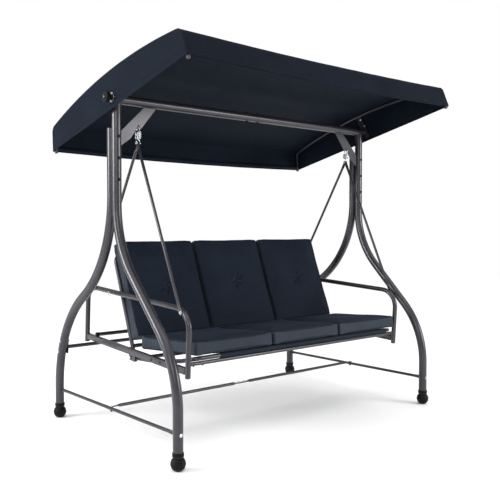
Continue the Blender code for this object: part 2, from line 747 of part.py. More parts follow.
def build_canopy_frame(canopy):
    inset = CLOTH + 0.0005 + CANOPY_TUBE
    path = roof_profile(inset)
    lower = 0.006
    path[0] = (path[0][0], HEM_FRONT[1] - lower)
    path[-1] = (path[-1][0], HEM_REAR[1] - lower)
    for side, sign in SIDES.items():
        name = f"canopy_arch_{side}"
        tube(name, at_x(sign * ARCH_X, path), CANOPY_TUBE, steel(name), canopy, 8)
    reach = ARCH_X - CANOPY_TUBE - GAP
    for place, end, lean in (("front", path[0], 1), ("rear", path[-1], -1)):
        points = []
        for i in range(9):
            x = reach * (i / 4 - 1)
            points.append((x, end[0] + lean * 0.0032, -0.040 + sag(x)))
        name = f"canopy_rail_{place}"
        tube(name, points, CANOPY_TUBE, steel(name), canopy, 8)


def build_straps(canopy):
    """Straps that hang the canopy's arches on the pivot bolts."""
    outline = [(0.012, 0.1020), (-0.019, 0.004)]
    outline += arc((-0.009, -0.022), 0.016, 180, 340, 7)
    outline += [(0.019, 0.004), (0.050, 0.1020)]
    for side, sign in SIDES.items():
        name = f"canopy_strap_{side}"
        made = add_mesh(name, plate(outline, sign * ARCH_X, STRAP), steel(name), canopy)
        cut(made, hole((sign * ARCH_X, 0, 0), PIVOT_HOLE), name + "_hole")


def build_knobs(stand):
    """Clamp knobs on the canopy axis, outside the side panels."""
    profile = ((0, 0.013), (0.012, 0.013), (0.013, 0.0225), (0.016, 0.0245), (0.032, 0.0245),
               (0.036, 0.021), (0.036, 0.009), (0.038, 0.008))
    for side, sign in SIDES.items():
        pivot = empty(f"knob_{side}_axis", (sign * KNOB_START, *CANOPY_AXIS), stand)
        name = f"knob_{side}"
        knob = turned((0, 0, 0), (sign, 0, 0), profile, 16, 8, 0.03)
        add_mesh(name, knob, plastic(name), pivot)


def build():
    clear_scene()
    stand = empty("stand", (0.0, MIDDLE_Y, 0.0))
    seat = empty("seat_swing", (0.0, *SWING_AXIS), stand, SEAT_TILT)
    back = empty("back_recline", (0.0, *BACK_HINGE), seat, -BACK_ANGLE)
    canopy = empty("canopy_tilt", (0.0, *CANOPY_AXIS), stand, -CANOPY_TILT)
    build_legs(stand)
    build_top_frame(stand)
    build_gussets(stand)
    build_stretchers(stand)
    build_pivot_brackets(stand)
    build_pivot_bolts(stand)
    build_springs(seat)
    build_hangers(seat)
    build_armrests(seat)
    build_pan(seat)
    build_slings(seat, back)
    build_hinges(seat)
    build_seat_cushion(seat)
    build_backrest(back)
    build_lock_pins(seat)
    build_cover(canopy)
    build_canopy_frame(canopy)
    build_straps(canopy)
    build_knobs(stand)


build()
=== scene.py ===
"""Visual model of the canopy swing bench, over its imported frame.

Metres, +Z up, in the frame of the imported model. Each moving group has a local frame on its
own axis, as the CAD has: the bench hangs front down, the backrest leans back and the canopy
falls towards the back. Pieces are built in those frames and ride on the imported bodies.
"""

import json
import math

import bmesh
import bpy
from mathutils import Matrix, Vector, noise
from mathutils.bvhtree import BVHTree


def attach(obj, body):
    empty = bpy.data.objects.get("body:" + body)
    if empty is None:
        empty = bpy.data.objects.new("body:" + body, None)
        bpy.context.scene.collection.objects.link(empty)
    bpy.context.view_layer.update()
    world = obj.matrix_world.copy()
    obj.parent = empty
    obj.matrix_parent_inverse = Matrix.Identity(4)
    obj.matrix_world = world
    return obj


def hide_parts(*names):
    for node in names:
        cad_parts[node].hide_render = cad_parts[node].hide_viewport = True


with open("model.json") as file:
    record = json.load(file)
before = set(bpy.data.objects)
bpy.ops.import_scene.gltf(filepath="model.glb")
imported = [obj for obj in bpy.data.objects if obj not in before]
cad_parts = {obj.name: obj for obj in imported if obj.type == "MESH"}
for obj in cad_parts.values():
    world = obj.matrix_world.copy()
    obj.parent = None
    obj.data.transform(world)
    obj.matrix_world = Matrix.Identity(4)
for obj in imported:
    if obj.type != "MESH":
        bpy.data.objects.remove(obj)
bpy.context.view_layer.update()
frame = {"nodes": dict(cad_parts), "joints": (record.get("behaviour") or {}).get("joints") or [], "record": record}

SIDES = {"left": -1, "right": 1}
AXIS = {joint["name"]: Vector(joint.get("pos_m", (0, 0, 0))) for joint in frame["joints"]}

POST_OFFSET = 0.0225            # each post's distance from the plane between the two
MIDDLE_Y = AXIS["seat_swing"].y + POST_OFFSET
SEAT_TILT = 3.3
BACK_ANGLE = 24.1
SEAT_SLOPE = 6.9
CANOPY_TILT = 13.3

STAND = Matrix.Translation((0, MIDDLE_Y, 0))


def frame_at(origin, degrees):
    return Matrix.Translation(origin) @ Matrix.Rotation(math.radians(degrees), 4, "X")


SEAT = frame_at(AXIS["seat_swing"], SEAT_TILT)
BACK = frame_at(AXIS["back_recline"], SEAT_TILT - BACK_ANGLE)
CANOPY = frame_at(AXIS["canopy_tilt"], -CANOPY_TILT)

# Stand
FOOT_X = 0.85
FRONT_FOOT_Y = -0.507
REAR_FOOT_Y = 0.585
POST_RADIUS = 0.022
BEAM_Z = 1.597
POST_JOINT_Z = 1.256
REAR_POST_TOP_Z = 1.467
LEG_BOTTOM_Z = 0.058
FRONT_LEG = {"start_z": 0.238, "bend": 44.4, "radius": 0.468}
REAR_LEG = {"start_z": 0.170, "bend": 58.0, "radius": 0.580}
FOOT_RADIUS = 0.033
STRETCHER_RADIUS = 0.008
STRETCHER_Z = 0.152
LONG_STRETCHER_Y = 0.039
CROSSBAR_RADIUS = 0.010
CROSSBAR_Y = 0.548
CROSSBAR_Z = 0.378
BEAM_JOINT_X = -0.001
LONG_JOINT_X = -0.047

# Hanging bench, in the frame (x, u, w) on the swing axis
SPRING_X = 0.733
WIRE_RADIUS = 0.0021
TOP_HOOK_RADIUS = 0.0125
LOW_HOOK_RADIUS = 0.0095
COIL_TOP = -0.026
COIL_BOTTOM = -0.063
COIL_RADIUS = 0.0130
HANGER_HOLE_W = -0.0825
ARM_X = 0.72
ARM_RADIUS = 0.0125
ARM_FRONT_U = -0.438
ARM_REAR_U = 0.480
ARM_TOP_W = -0.8175
ARM_BOTTOM_W = -1.113
ARM_FRONT_BEND = 0.095
ARM_REAR_BEND = 0.075
RAIL_W = -1.0855
RAIL_HALF_HEIGHT = 0.015
RAIL_HALF_WIDTH = 0.010
FRONT_RAIL = (-0.4360, -1.0543)
TUBE_RADIUS = 0.010
PAN_X = 0.685
PAN_FRONT = (-0.4377, -1.0325)
PAN_REAR = (0.010, -1.1190)
REST_BAR = (0.372, RAIL_W + RAIL_HALF_HEIGHT + TUBE_RADIUS)
SEAT_HALF_WIDTH = 0.700
SEAT_FRONT_BOTTOM = (-0.4668, -1.0145)
SEAT_LENGTH = 0.465
SEAT_THICKNESS = 0.066
LOCK_PIN_U = 0.225
PITCH = 2 * SEAT_HALF_WIDTH / 3

# Backrest, in the frame (x, n, h) on its hinge
BACK_TOP_H = 0.540
BACK_LOW_H = 0.055
BACK_TAIL_H = -0.024
CUSHION_LOW_H = 0.0757
CUSHION_TOP_H = 0.587
CUSHION_FRONT_N = -0.0825
CUSHION_REAR_N = -0.0135

# Canopy, in the frame (x, u, w) on its axis
CANOPY_HALF_LENGTH = 0.890
CLOTH = 0.003
ROOF_FRONT = (-0.572, 0.068)
ROOF_REAR = (0.610, 0.068)
ROOF_RISE = 0.0555
HEM_FRONT = (-0.590, -0.052)
HEM_REAR = (0.632, -0.052)
ROOF_CORNER = 0.028
ROOF_EDGE = 0.045
CANOPY_SAG = 0.012
CANOPY_TUBE = 0.008
ARCH_X = CANOPY_HALF_LENGTH - CLOTH - 0.0005 - CANOPY_TUBE
KNOB_START = CANOPY_HALF_LENGTH + 0.0020


# ---------------------------------------------------------------- materials

class Graph:
    """A Principled material and short ways to add nodes to it."""

    def __init__(self, name, **sockets):
        self.material = bpy.data.materials.new(name)
        self.material.use_nodes = True
        self.tree = self.material.node_tree
        self.shader = self.tree.nodes["Principled BSDF"]
        for socket, value in sockets.items():
            self.shader.inputs[socket.replace("_", " ")].default_value = value
        self.place = self.add("ShaderNodeTexCoord").outputs["Object"]

    def add(self, kind, values=(), **settings):
        node = self.tree.nodes.new(kind)
        for key, value in settings.items():
            setattr(node, key, value)
        for socket, value in dict(values).items():
            node.inputs[socket].default_value = value
        return node

    def link(self, source, target):
        self.tree.links.new(source, target)

    def noise(self, scale, detail=3.0, stretch=None):
        made = self.add("ShaderNodeTexNoise", {"Scale": scale, "Detail": detail})
        place = self.place
        if stretch:
            mapping = self.add("ShaderNodeMapping", {"Scale": stretch})
            self.link(place, mapping.inputs["Vector"])
            place = mapping.outputs["Vector"]
        self.link(place, made.inputs["Vector"])
        return made.outputs["Fac"]

    def wave(self, direction, period):
        scale = 2 * math.pi / (20 * period)
        made = self.add("ShaderNodeTexWave", {"Scale": scale}, bands_direction=direction)
        self.link(self.place, made.inputs["Vector"])
        return made.outputs["Fac"]

    def facings(self):
        """How far the surface faces each axis, sharpened so that one of them leads."""
        normal = self.add("ShaderNodeTexCoord").outputs["Normal"]
        size = self.add("ShaderNodeVectorMath", operation="ABSOLUTE")
        self.link(normal, size.inputs[0])
        parts = self.add("ShaderNodeSeparateXYZ")
        self.link(size.outputs[0], parts.inputs[0])
        return [self.math("POWER", part, 4.0) for part in parts.outputs]

    def math(self, operation, first, second):
        made = self.add("ShaderNodeMath", operation=operation)
        for socket, value in zip(made.inputs, (first, second)):
            if isinstance(value, (int, float)):
                socket.default_value = value
            else:
                self.link(value, socket)
        return made.outputs[0]

    def colour(self, factor, stops):
        ramp = self.add("ShaderNodeValToRGB")
        while len(ramp.color_ramp.elements) < len(stops):
            ramp.color_ramp.elements.new(0.5)
        for element, (position, colour) in zip(ramp.color_ramp.elements, stops):
            element.position = position
            element.color = (*colour, 1.0)
        self.link(factor, ramp.inputs["Fac"])
        self.link(ramp.outputs["Color"], self.shader.inputs["Base Color"])

    def roughness(self, factor, low, high):
        made = self.add("ShaderNodeMapRange", {"To Min": low, "To Max": high})
        self.link(factor, made.inputs["Value"])
        self.link(made.outputs["Result"], self.shader.inputs["Roughness"])

    def bumps(self, *layers):
        """Each layer is (height, strength, distance in metres)."""
        before = None
        for height, strength, distance in layers:
            bump = self.add("ShaderNodeBump", {"Strength": strength, "Distance": distance})
            self.link(height, bump.inputs["Height"])
            if before:
                self.link(before, bump.inputs["Normal"])
            before = bump.outputs["Normal"]
        self.link(before, self.shader.inputs["Normal"])


def powder_coat(name, dark, light):
    """Satin powder coat: a fine orange peel, with faint clouding and dusty patches."""
    made = Graph(name, Metallic=0.40, Specular_IOR_Level=0.55, Coat_Weight=0.10, Coat_Roughness=0.18)
    made.colour(made.noise(7.0, 5.0), ((0.30, dark), (0.72, light)))
    made.roughness(made.noise(38.0, 6.0), 0.26, 0.38)
    made.bumps((made.noise(420.0, 2.0), 0.10, 0.0006), (made.noise(1500.0, 1.0), 0.08, 0.0002))
    return made.material


def zinc_plate(name):
    made = Graph(name, Metallic=1.0)
    made.colour(made.noise(90.0, 6.0), ((0.25, (0.42, 0.44, 0.46)), (0.75, (0.78, 0.80, 0.82))))
    made.roughness(made.noise(160.0, 4.0), 0.18, 0.36)
    made.bumps((made.noise(700.0, 3.0), 0.10, 0.0003))
    return made.material


def moulded(name, dark, light):
    made = Graph(name, Specular_IOR_Level=0.09)
    made.colour(made.noise(25.0, 4.0), ((0.3, dark), (0.7, light)))
    made.roughness(made.noise(60.0, 4.0), 0.34, 0.50)
    made.bumps((made.noise(900.0, 2.0), 0.15, 0.0003))
    return made.material


def woven(name, dark, light, period=0.0016, sheen=0.05, creases=0.25, gathers=0.0, gloss=0.10):
    """Woven polyester: a plain weave, slubs along the threads and soft creases."""
    made = Graph(name, Sheen_Weight=sheen, Sheen_Roughness=0.35, Sheen_Tint=(0.55, 0.68, 0.85, 1.0),
                 Specular_IOR_Level=gloss)
    x, y, z = (made.wave(axis, period) for axis in "XYZ")
    weave = 0.0
    for facing, across, along in zip(made.facings(), (y, z, x), (z, x, y)):
        threads = made.math("MULTIPLY", across, along)
        weave = made.math("ADD", weave, made.math("MULTIPLY", facing, threads))
    slubs = made.noise(26.0, 5.0, (1.0, 9.0, 9.0))
    clouds = made.noise(5.0, 4.0)
    mixed = made.math("ADD", made.math("MULTIPLY", slubs, 0.45), made.math("MULTIPLY", clouds, 0.35))
    mixed = made.math("ADD", mixed, made.math("MULTIPLY", weave, 0.30))
    made.colour(mixed, ((0.34, dark), (0.66, light)))
    made.roughness(slubs, 0.66, 0.88)
    layers = [(made.noise(24.0, 3.0), creases, 0.0045), (slubs, 0.25, 0.0010), (weave, 0.35, 0.0003)]
    if gathers:
        layers.insert(0, (made.noise(11.0, 2.0, (9.0, 9.0, 0.7)), gathers, 0.0060))
    made.bumps(*layers)
    return made.material


PAINT = powder_coat("frame_powder_coat", (0.026, 0.025, 0.031), (0.040, 0.039, 0.047))
PAINT_DARK = powder_coat("frame_seam", (0.010, 0.010, 0.011), (0.022, 0.022, 0.024))
ZINC = zinc_plate("zinc_plate")
BLACK = moulded("black_moulding", (0.0035, 0.0035, 0.0038), (0.0080, 0.0080, 0.0085))
GREY_PLUG = moulded("grey_moulding", (0.055, 0.055, 0.058), (0.095, 0.095, 0.098))
CANOPY_CLOTH = woven("canopy_polyester", (0.0036, 0.0058, 0.0108), (0.0072, 0.0112, 0.0192), sheen=0.02,
                     gloss=0.06)
CUSHION_CLOTH = woven("cushion_polyester", (0.0078, 0.0118, 0.0205), (0.0140, 0.0205, 0.0325), sheen=0.02,
                      gloss=0.08)
# Painted light: the gusset cloth is the cushion cloth in a lighter tone, for the cushion sides that light falls on
# more brightly; its sheen, gloss and gathers are shader settings.
LIT_GUSSET_CLOTH = woven("cushion_gusset_painted_light", (0.0120, 0.0180, 0.0270), (0.0210, 0.0300, 0.0430), sheen=0.16,
                     gathers=0.60, gloss=0.28)
SLING_CLOTH = woven("sling_mesh", (0.0100, 0.0145, 0.0220), (0.0165, 0.0235, 0.0330), 0.0024)


# ---------------------------------------------------------------- shapes

def swept(points, radius, sides=24, closed=False):
    """A round bar along a line of points, mitred at each bend; radius may be a list."""
    points = [Vector(point) for point in points]
    count = len(points)
    radii = radius if isinstance(radius, (list, tuple)) else [radius] * count
    before = (points[0] - points[-1] if closed else points[1] - points[0]).normalized()
    across = before.orthogonal().normalized()
    rings = []
    for i, point in enumerate(points):
        following = points[(i + 1) % count] if closed or i + 1 < count else None
        ahead = (following - point).normalized() if following is not None else before
        across = (before.rotation_difference(ahead) @ across).normalized()
        mitre = (before + ahead).normalized()
        ring = []
        for j in range(sides):
            angle = 2 * math.pi * (j + 0.5) / sides
            spoke = radii[i] * (math.cos(angle) * across + math.sin(angle) * ahead.cross(across))
            ring.append(point + spoke - ahead * (spoke.dot(mitre) / ahead.dot(mitre)))
        rings.append(ring)
        before = ahead
    return loft(rings, closed)


def loft(rings, closed=False):
    made = bmesh.new()
    rows = [[made.verts.new(point) for point in ring] for ring in rings]
    count = len(rows[0])
    pairs = list(zip(rows, rows[1:]))
    if closed:
        pairs.append((rows[-1], rows[0]))
    for low, high in pairs:
        for i in range(count):
            j = (i + 1) % count
            made.faces.new((low[i], low[j], high[j], high[i]))
    if not closed:
        made.faces.new(rows[0][::-1])
        made.faces.new(rows[-1])
    return made


def turned(origin, axis, profile, segments=28, waves=0, depth=0.0):
    """A solid of revolution: profile is (distance along the axis, radius) pairs."""
    turn = Vector(axis).to_track_quat("Z", "Y").to_matrix()
    rings = []
    for distance, radius in profile:
        ring = []
        for i in range(segments):
            angle = 2 * math.pi * i / segments
            reach = radius * (1 + depth * math.cos(waves * angle))
            local = Vector((reach * math.cos(angle), reach * math.sin(angle), distance))
            ring.append(Vector(origin) + turn @ local)
        rings.append(ring)
    return loft(rings)


def ring_of(origin, axis, radius, wire, sides=10, steps=40):
    turn = Vector(axis).to_track_quat("Z", "Y").to_matrix()
    points = []
    for i in range(steps):
        angle = 2 * math.pi * i / steps
        local = Vector((radius * math.cos(angle), radius * math.sin(angle), 0.0))
        points.append(Vector(origin) + turn @ local)
    return swept(points, wire, sides, closed=True)


def bolt(origin, axis, across=0.0065, height=0.0045, washer=0.0085):
    """A hexagon head on a washer; origin is on the surface and axis points outwards."""
    made = turned(origin, axis, ((0, washer), (0.0010, washer), (0.0013, washer * 0.96)), 24)
    head = turned(origin, axis, ((0.0013, across), (height, across), (height + 0.0007, across * 0.86)), 6)
    return merged(made, head)


def merged(*pieces):
    """Several shapes as one mesh."""
    mesh = bpy.data.meshes.new("part")
    whole = bmesh.new()
    for piece in pieces:
        piece.to_mesh(mesh)
        piece.free()
        whole.from_mesh(mesh)
    bpy.data.meshes.remove(mesh)
    return whole


def arc(centre, radius, start, end, steps):
    made = []
    for i in range(steps + 1):
        angle = math.radians(start + (end - start) * i / steps)
        made.append((centre[0] + radius * math.cos(angle), centre[1] + radius * math.sin(angle)))
    return made


def at_x(x, pairs):
    return [(x, a, b) for a, b in pairs]


def rounded_block(low, high, radius, segments=3):
    made = bmesh.new()
    bmesh.ops.create_cube(made, size=1.0)
    size = [b - a for a, b in zip(low, high)]
    middle = [(a + b) / 2 for a, b in zip(low, high)]
    bmesh.ops.transform(made, matrix=Matrix.LocRotScale(middle, None, size), verts=made.verts)
    bmesh.ops.bevel(made, geom=made.edges[:], offset=radius, segments=segments, affect="EDGES", profile=0.5)
    return made


def flat_ended_bar(start, end, normal, radius, flat=0.030, width=0.0095, thickness=0.0015):
    """A tube whose two ends are pressed flat, square to the given normal."""
    start, end = Vector(start), Vector(end)
    along = (end - start).normalized()
    across = along.cross(Vector(normal)).normalized()
    out = across.cross(along)
    length = (end - start).length
    ends = [(0.0, width * 0.55, thickness, 0.35), (0.0015, width * 0.82, thickness, 0.35),
            (0.004, width, thickness, 0.35), (flat, width, thickness, 0.35)]
    for k in range(1, 6):
        t = k / 5
        ease = t * t * (3 - 2 * t)
        ends.append((flat + 0.018 * t, width + (radius - width) * ease,
                     thickness + (radius - thickness) * ease, 0.35 + 0.65 * ease))
    stations = ends + [(length - d, w, t, p) for d, w, t, p in reversed(ends)]
    rings = []
    for distance, half_width, half_thick, power in stations:
        ring = []
        for i in range(24):
            angle = 2 * math.pi * (i + 0.5) / 24
            side = math.copysign(abs(math.cos(angle)) ** (0.5 + 0.5 * power), math.cos(angle))
            face = math.copysign(abs(math.sin(angle)) ** power, math.sin(angle))
            ring.append(start + along * distance + across * side * half_width + out * face * half_thick)
        rings.append(ring)
    return loft(rings)


def piece(name, shape, place, body, finish, slot, replaces=(), smooth=40.0):
    """Make one named piece: its shape is moved into the row's frame and rides on a body."""
    mesh = bpy.data.meshes.new(name)
    bmesh.ops.recalc_face_normals(shape, faces=shape.faces)
    shape.to_mesh(mesh)
    shape.free()
    mesh.transform(place)
    mesh.shade_smooth()
    mesh.set_sharp_from_angle(angle=math.radians(smooth))
    mesh.materials.append(finish)
    made = bpy.data.objects.new(name, mesh)
    bpy.context.scene.collection.objects.link(made)
    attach(made, body)
    if replaces:
        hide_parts(*replaces)
    return made


def joint_band(radius, half_width, shoulder, proud=0.0003):
    """Profile of the thin dark line where one tube meets the next."""
    return ((-half_width, radius - 0.001), (-shoulder, radius + proud), (shoulder, radius + proud),
            (half_width, radius - 0.001))


def steel(name, shape, place, body, *replaces, smooth=40.0):
    return piece(name, shape, place, body, PAINT, "frame_paint", replaces, smooth)


def seam(name, shape, place, body):
    return piece(name, shape, place, body, PAINT_DARK, "frame_paint")


def zinc(name, shape, place, body, *replaces, smooth=40.0):
    return piece(name, shape, place, body, ZINC, "zinc_steel", replaces, smooth)


def black(name, shape, place, body, *replaces):
    return piece(name, shape, place, body, BLACK, "black_plastic", replaces)


# ---------------------------------------------------------------- stand

def leg_path(foot_y, post_y, start_z, bend, radius, top_z):
    """Upright foot, an outward bow, a slope and a second bow up to the post."""
    out = math.copysign(1.0, foot_y)
    angle = math.radians(bend)
    slope = (abs(foot_y - post_y) - 2 * radius * (1 - math.cos(angle))) / math.sin(angle)
    end_z = start_z + 2 * radius * math.sin(angle) + slope * math.cos(angle)
    path = [(foot_y, LEG_BOTTOM_Z)]
    for y, z in arc((radius, 0.0), radius, 180, 180 - bend, 24):
        path.append((foot_y - out * y, start_z + z))
    for y, z in arc((radius, 0.0), radius, 180 - bend, 180, 24):
        path.append((post_y + out * y, end_z - z))
    path.append((post_y, top_z))
    return path


def on_path(path, z):
    """The point of a rising path at a height, and the direction there."""
    for low, high in zip(path, path[1:]):
        if low[1] <= z <= high[1]:
            share = (z - low[1]) / (high[1] - low[1])
            along = Vector((0.0, high[0] - low[0], high[1] - low[1])).normalized()
            return Vector((0.0, low[0] + (high[0] - low[0]) * share, z)), along
    raise ValueError("the height is off the path")


def build_legs():
    joints = {"front": (0.352, 0.985), "rear": (0.985,)}
    for side, sign in SIDES.items():
        x = sign * FOOT_X
        paths = {
            "front": leg_path(FRONT_FOOT_Y, -POST_OFFSET, **FRONT_LEG, top_z=POST_JOINT_Z),
            "rear": leg_path(REAR_FOOT_Y, POST_OFFSET, **REAR_LEG, top_z=REAR_POST_TOP_Z),
        }
        for place, path in paths.items():
            node = f"leg_{place}_{side}"
            steel(f"tube_{node}", swept(at_x(x, path), POST_RADIUS, 32), STAND, "stand", node)
            for k, height in enumerate(joints[place]):
                at, along = on_path(path, height)
                at.x = x
                band = joint_band(POST_RADIUS, 0.0012, 0.0009, 0.0002)
                seam(f"joint_{node}_{k}", turned(at, along, band, 40), STAND, "stand")


def foot_shape(at):
    rim = POST_RADIUS + 0.0003
    low = math.radians(68)
    profile = [(0.0, 0.0), (0.0, FOOT_RADIUS * math.cos(low) - 0.0006)]
    for step in range(27):
        degrees = -66 + 4.85 * step
        angle = math.radians(degrees)
        groove = 0.0014 * math.exp(-((degrees + 14) / 2.6) ** 2)
        groove += 0.0014 * math.exp(-((degrees - 16) / 2.6) ** 2)
        reach = FOOT_RADIUS - groove
        profile.append((reach * math.sin(angle) + FOOT_RADIUS * math.sin(low), reach * math.cos(angle)))
    profile += [(0.0605, 0.0245), (0.0615, 0.0252), (0.0765, 0.0250), (0.078, 0.0242), (0.078, rim)]
    return turned(at, (0, 0, 1), profile[1:], 40)


def build_feet():
    for side, sign in SIDES.items():
        for place, y in (("front", FRONT_FOOT_Y), ("rear", REAR_FOOT_Y)):
            node = f"foot_{place}_{side}"
            black(f"ball_{node}", foot_shape((sign * FOOT_X, y, 0.0)), STAND, "stand", node)
        node = f"post_cap_{side}"
        cap = ((0, 0.0195), (0.003, 0.0195), (0.0048, 0.0180), (0.0058, 0.0150), (0.006, 0.0110))
        at = (sign * FOOT_X, POST_OFFSET, REAR_POST_TOP_Z + 0.0003)
        black(f"plug_{node}", turned(at, (0, 0, 1), cap, 32), STAND, "stand", node)


def build_top_frame():
    for side, sign in SIDES.items():
        joint = BEAM_JOINT_X + sign * 0.00015
        length = FOOT_X + POST_RADIUS - sign * joint
        rounding = ((0, POST_RADIUS - 0.0006), (0.0006, POST_RADIUS), (length - 0.0012, POST_RADIUS),
                    (length, POST_RADIUS - 0.0012))
        beam = turned((joint, -POST_OFFSET, BEAM_Z), (sign, 0, 0), rounding, 36)
        node = f"top_frame_{side}"
        steel(f"beam_{side}", beam, STAND, "stand", node)
        low = (sign * FOOT_X, -POST_OFFSET, POST_JOINT_Z)
        height = BEAM_Z - POST_JOINT_Z
        profile = ((0, POST_RADIUS - 0.0008), (0.0008, POST_RADIUS), (height, POST_RADIUS))
        post = turned(low, (0, 0, 1), profile, 32)
        steel(f"post_{side}", post, STAND, "stand")
        band = joint_band(POST_RADIUS, 0.0012, 0.0008)
        seam(f"post_joint_{side}", turned(low, (0, 0, 1), band, 40), STAND, "stand")
        weld = ring_of((sign * FOOT_X, -POST_OFFSET, BEAM_Z - 0.0165), (0, 0, 1), POST_RADIUS, 0.0012)
        steel(f"beam_weld_{side}", weld, STAND, "stand")
        end = (sign * (FOOT_X + POST_RADIUS - 0.0002), -POST_OFFSET, BEAM_Z)
        plug = ((0, 0.0170), (0.00025, 0.0170), (0.0003, 0.0160))
        black(f"beam_plug_{side}", turned(end, (sign, 0, 0), plug, 32), STAND, "stand")
        for k, z in enumerate((1.228, 1.327, 1.426)):
            head = (sign * FOOT_X, -POST_OFFSET - POST_RADIUS + 0.0006, z)
            black(f"post_bolt_{side}_{k}", bolt(head, (0, -1, 0), 0.0058, 0.0042, 0.0080), STAND, "stand")
            nut = (sign * FOOT_X, POST_OFFSET + POST_RADIUS - 0.0006, z)
            black(f"post_nut_{side}_{k}", bolt(nut, (0, 1, 0), 0.0058, 0.0050, 0.0080), STAND, "stand")
            gap = (sign * FOOT_X, -0.0035, z)
            black(f"post_spacer_{side}_{k}", turned(gap, (0, 1, 0), ((0, 0.0075), (0.007, 0.0075)), 20),
                  STAND, "stand")
    for k, x in enumerate((-0.061, 0.015)):
        top = (x, -POST_OFFSET, BEAM_Z + POST_RADIUS - 0.0006)
        black(f"beam_bolt_{k}", bolt(top, (0, 0, 1), 0.0058, 0.0040, 0.0080), STAND, "stand")
        low = (x, -POST_OFFSET, BEAM_Z - POST_RADIUS + 0.0006)
        shank = turned(low, (0, 0, -1), ((0, 0.0030), (0.0125, 0.0030), (0.0132, 0.0022)), 14)
        black(f"beam_nut_{k}", merged(bolt(low, (0, 0, -1), 0.0058, 0.0052, 0.0080), shank), STAND, "stand")
    band = joint_band(POST_RADIUS, 0.0014, 0.0010)
    seam("beam_joint", turned((BEAM_JOINT_X, -POST_OFFSET, BEAM_Z), (1, 0, 0), band, 40), STAND, "stand")


def build_stretchers():
    z = STRETCHER_Z + STRETCHER_RADIUS + 0.0018
    for side, sign in SIDES.items():
        x = sign * FOOT_X
        ends = ((x, FRONT_FOOT_Y + POST_RADIUS + 0.0003, STRETCHER_Z),
                (x, REAR_FOOT_Y - POST_RADIUS - 0.0003, STRETCHER_Z))
        bar = flat_ended_bar(*ends, (1, 0, 0), STRETCHER_RADIUS, 0.012)
        node = f"side_stretcher_{side}"
        steel(f"bar_{node}", bar, STAND, "stand", node)
        joint = LONG_JOINT_X + sign * 0.00015
        outer = (sign * (FOOT_X + 0.012), LONG_STRETCHER_Y, z)
        bar = flat_ended_bar(outer, (joint, LONG_STRETCHER_Y, z), (0, 0, 1), STRETCHER_RADIUS, 0.040)
        node = f"long_stretcher_{side}"
        steel(f"bar_{node}", bar, STAND, "stand", node)
        top = (x, LONG_STRETCHER_Y, z + 0.0014)
        zinc(f"stretcher_bolt_{side}", bolt(top, (0, 0, 1), 0.0055, 0.0040, 0.0075), STAND, "stand")
        low = (x, LONG_STRETCHER_Y, STRETCHER_Z - STRETCHER_RADIUS + 0.0004)
        black(f"stretcher_nut_{side}", bolt(low, (0, 0, -1), 0.0055, 0.0050, 0.0070), STAND, "stand")
        for place, y, out in (("front", FRONT_FOOT_Y, -1), ("rear", REAR_FOOT_Y, 1)):
            head = (x, y + out * (POST_RADIUS - 0.0006), STRETCHER_Z)
            zinc(f"leg_bolt_{place}_{side}", bolt(head, (0, out, 0), 0.0055, 0.0042, 0.0078), STAND, "stand")
    for k, shift in enumerate((-0.018, 0.018)):
        at = (LONG_JOINT_X + shift, LONG_STRETCHER_Y, z + 0.0014)
        zinc(f"long_joint_bolt_{k}", bolt(at, (0, 0, 1), 0.0050, 0.0038, 0.0068), STAND, "stand")
    splice = rounded_block((LONG_JOINT_X - 0.036, LONG_STRETCHER_Y - 0.0085, z - 0.0034),
                           (LONG_JOINT_X + 0.036, LONG_STRETCHER_Y + 0.0085, z - 0.0016), 0.0006, 2)
    steel("long_splice", splice, STAND, "stand")
    reach = FOOT_X - POST_RADIUS - 0.0036
    ends = ((0, CROSSBAR_RADIUS - 0.0006), (0.0006, CROSSBAR_RADIUS), (2 * reach - 0.0006, CROSSBAR_RADIUS),
            (2 * reach, CROSSBAR_RADIUS - 0.0006))
    steel("tube_rear_crossbar", turned((-reach, CROSSBAR_Y, CROSSBAR_Z), (1, 0, 0), ends, 28), STAND, "stand",
          "rear_crossbar")
    band = joint_band(CROSSBAR_RADIUS, 0.0010, 0.0007)
    seam("crossbar_joint", turned((0, CROSSBAR_Y, CROSSBAR_Z), (1, 0, 0), band, 30), STAND, "stand")
    rear = leg_path(REAR_FOOT_Y, POST_OFFSET, **REAR_LEG, top_z=REAR_POST_TOP_Z)
    for side, sign in SIDES.items():
        for k, height in enumerate((0.357, 0.413)):
            at, along = on_path(rear, height)
            inside = (sign * (FOOT_X - POST_RADIUS - 0.0030), at.y - 0.002, at.z)
            zinc(f"saddle_bolt_{side}_{k}", bolt(inside, (-sign, 0, 0), 0.0045, 0.0036, 0.0062), STAND, "stand")
            outside = (sign * (FOOT_X + POST_RADIUS - 0.0006), at.y - 0.002, at.z)
            zinc(f"saddle_nut_{side}_{k}", bolt(outside, (sign, 0, 0), 0.0045, 0.0040, 0.0062), STAND, "stand")


# ---------------------------------------------------------------- hanging bench

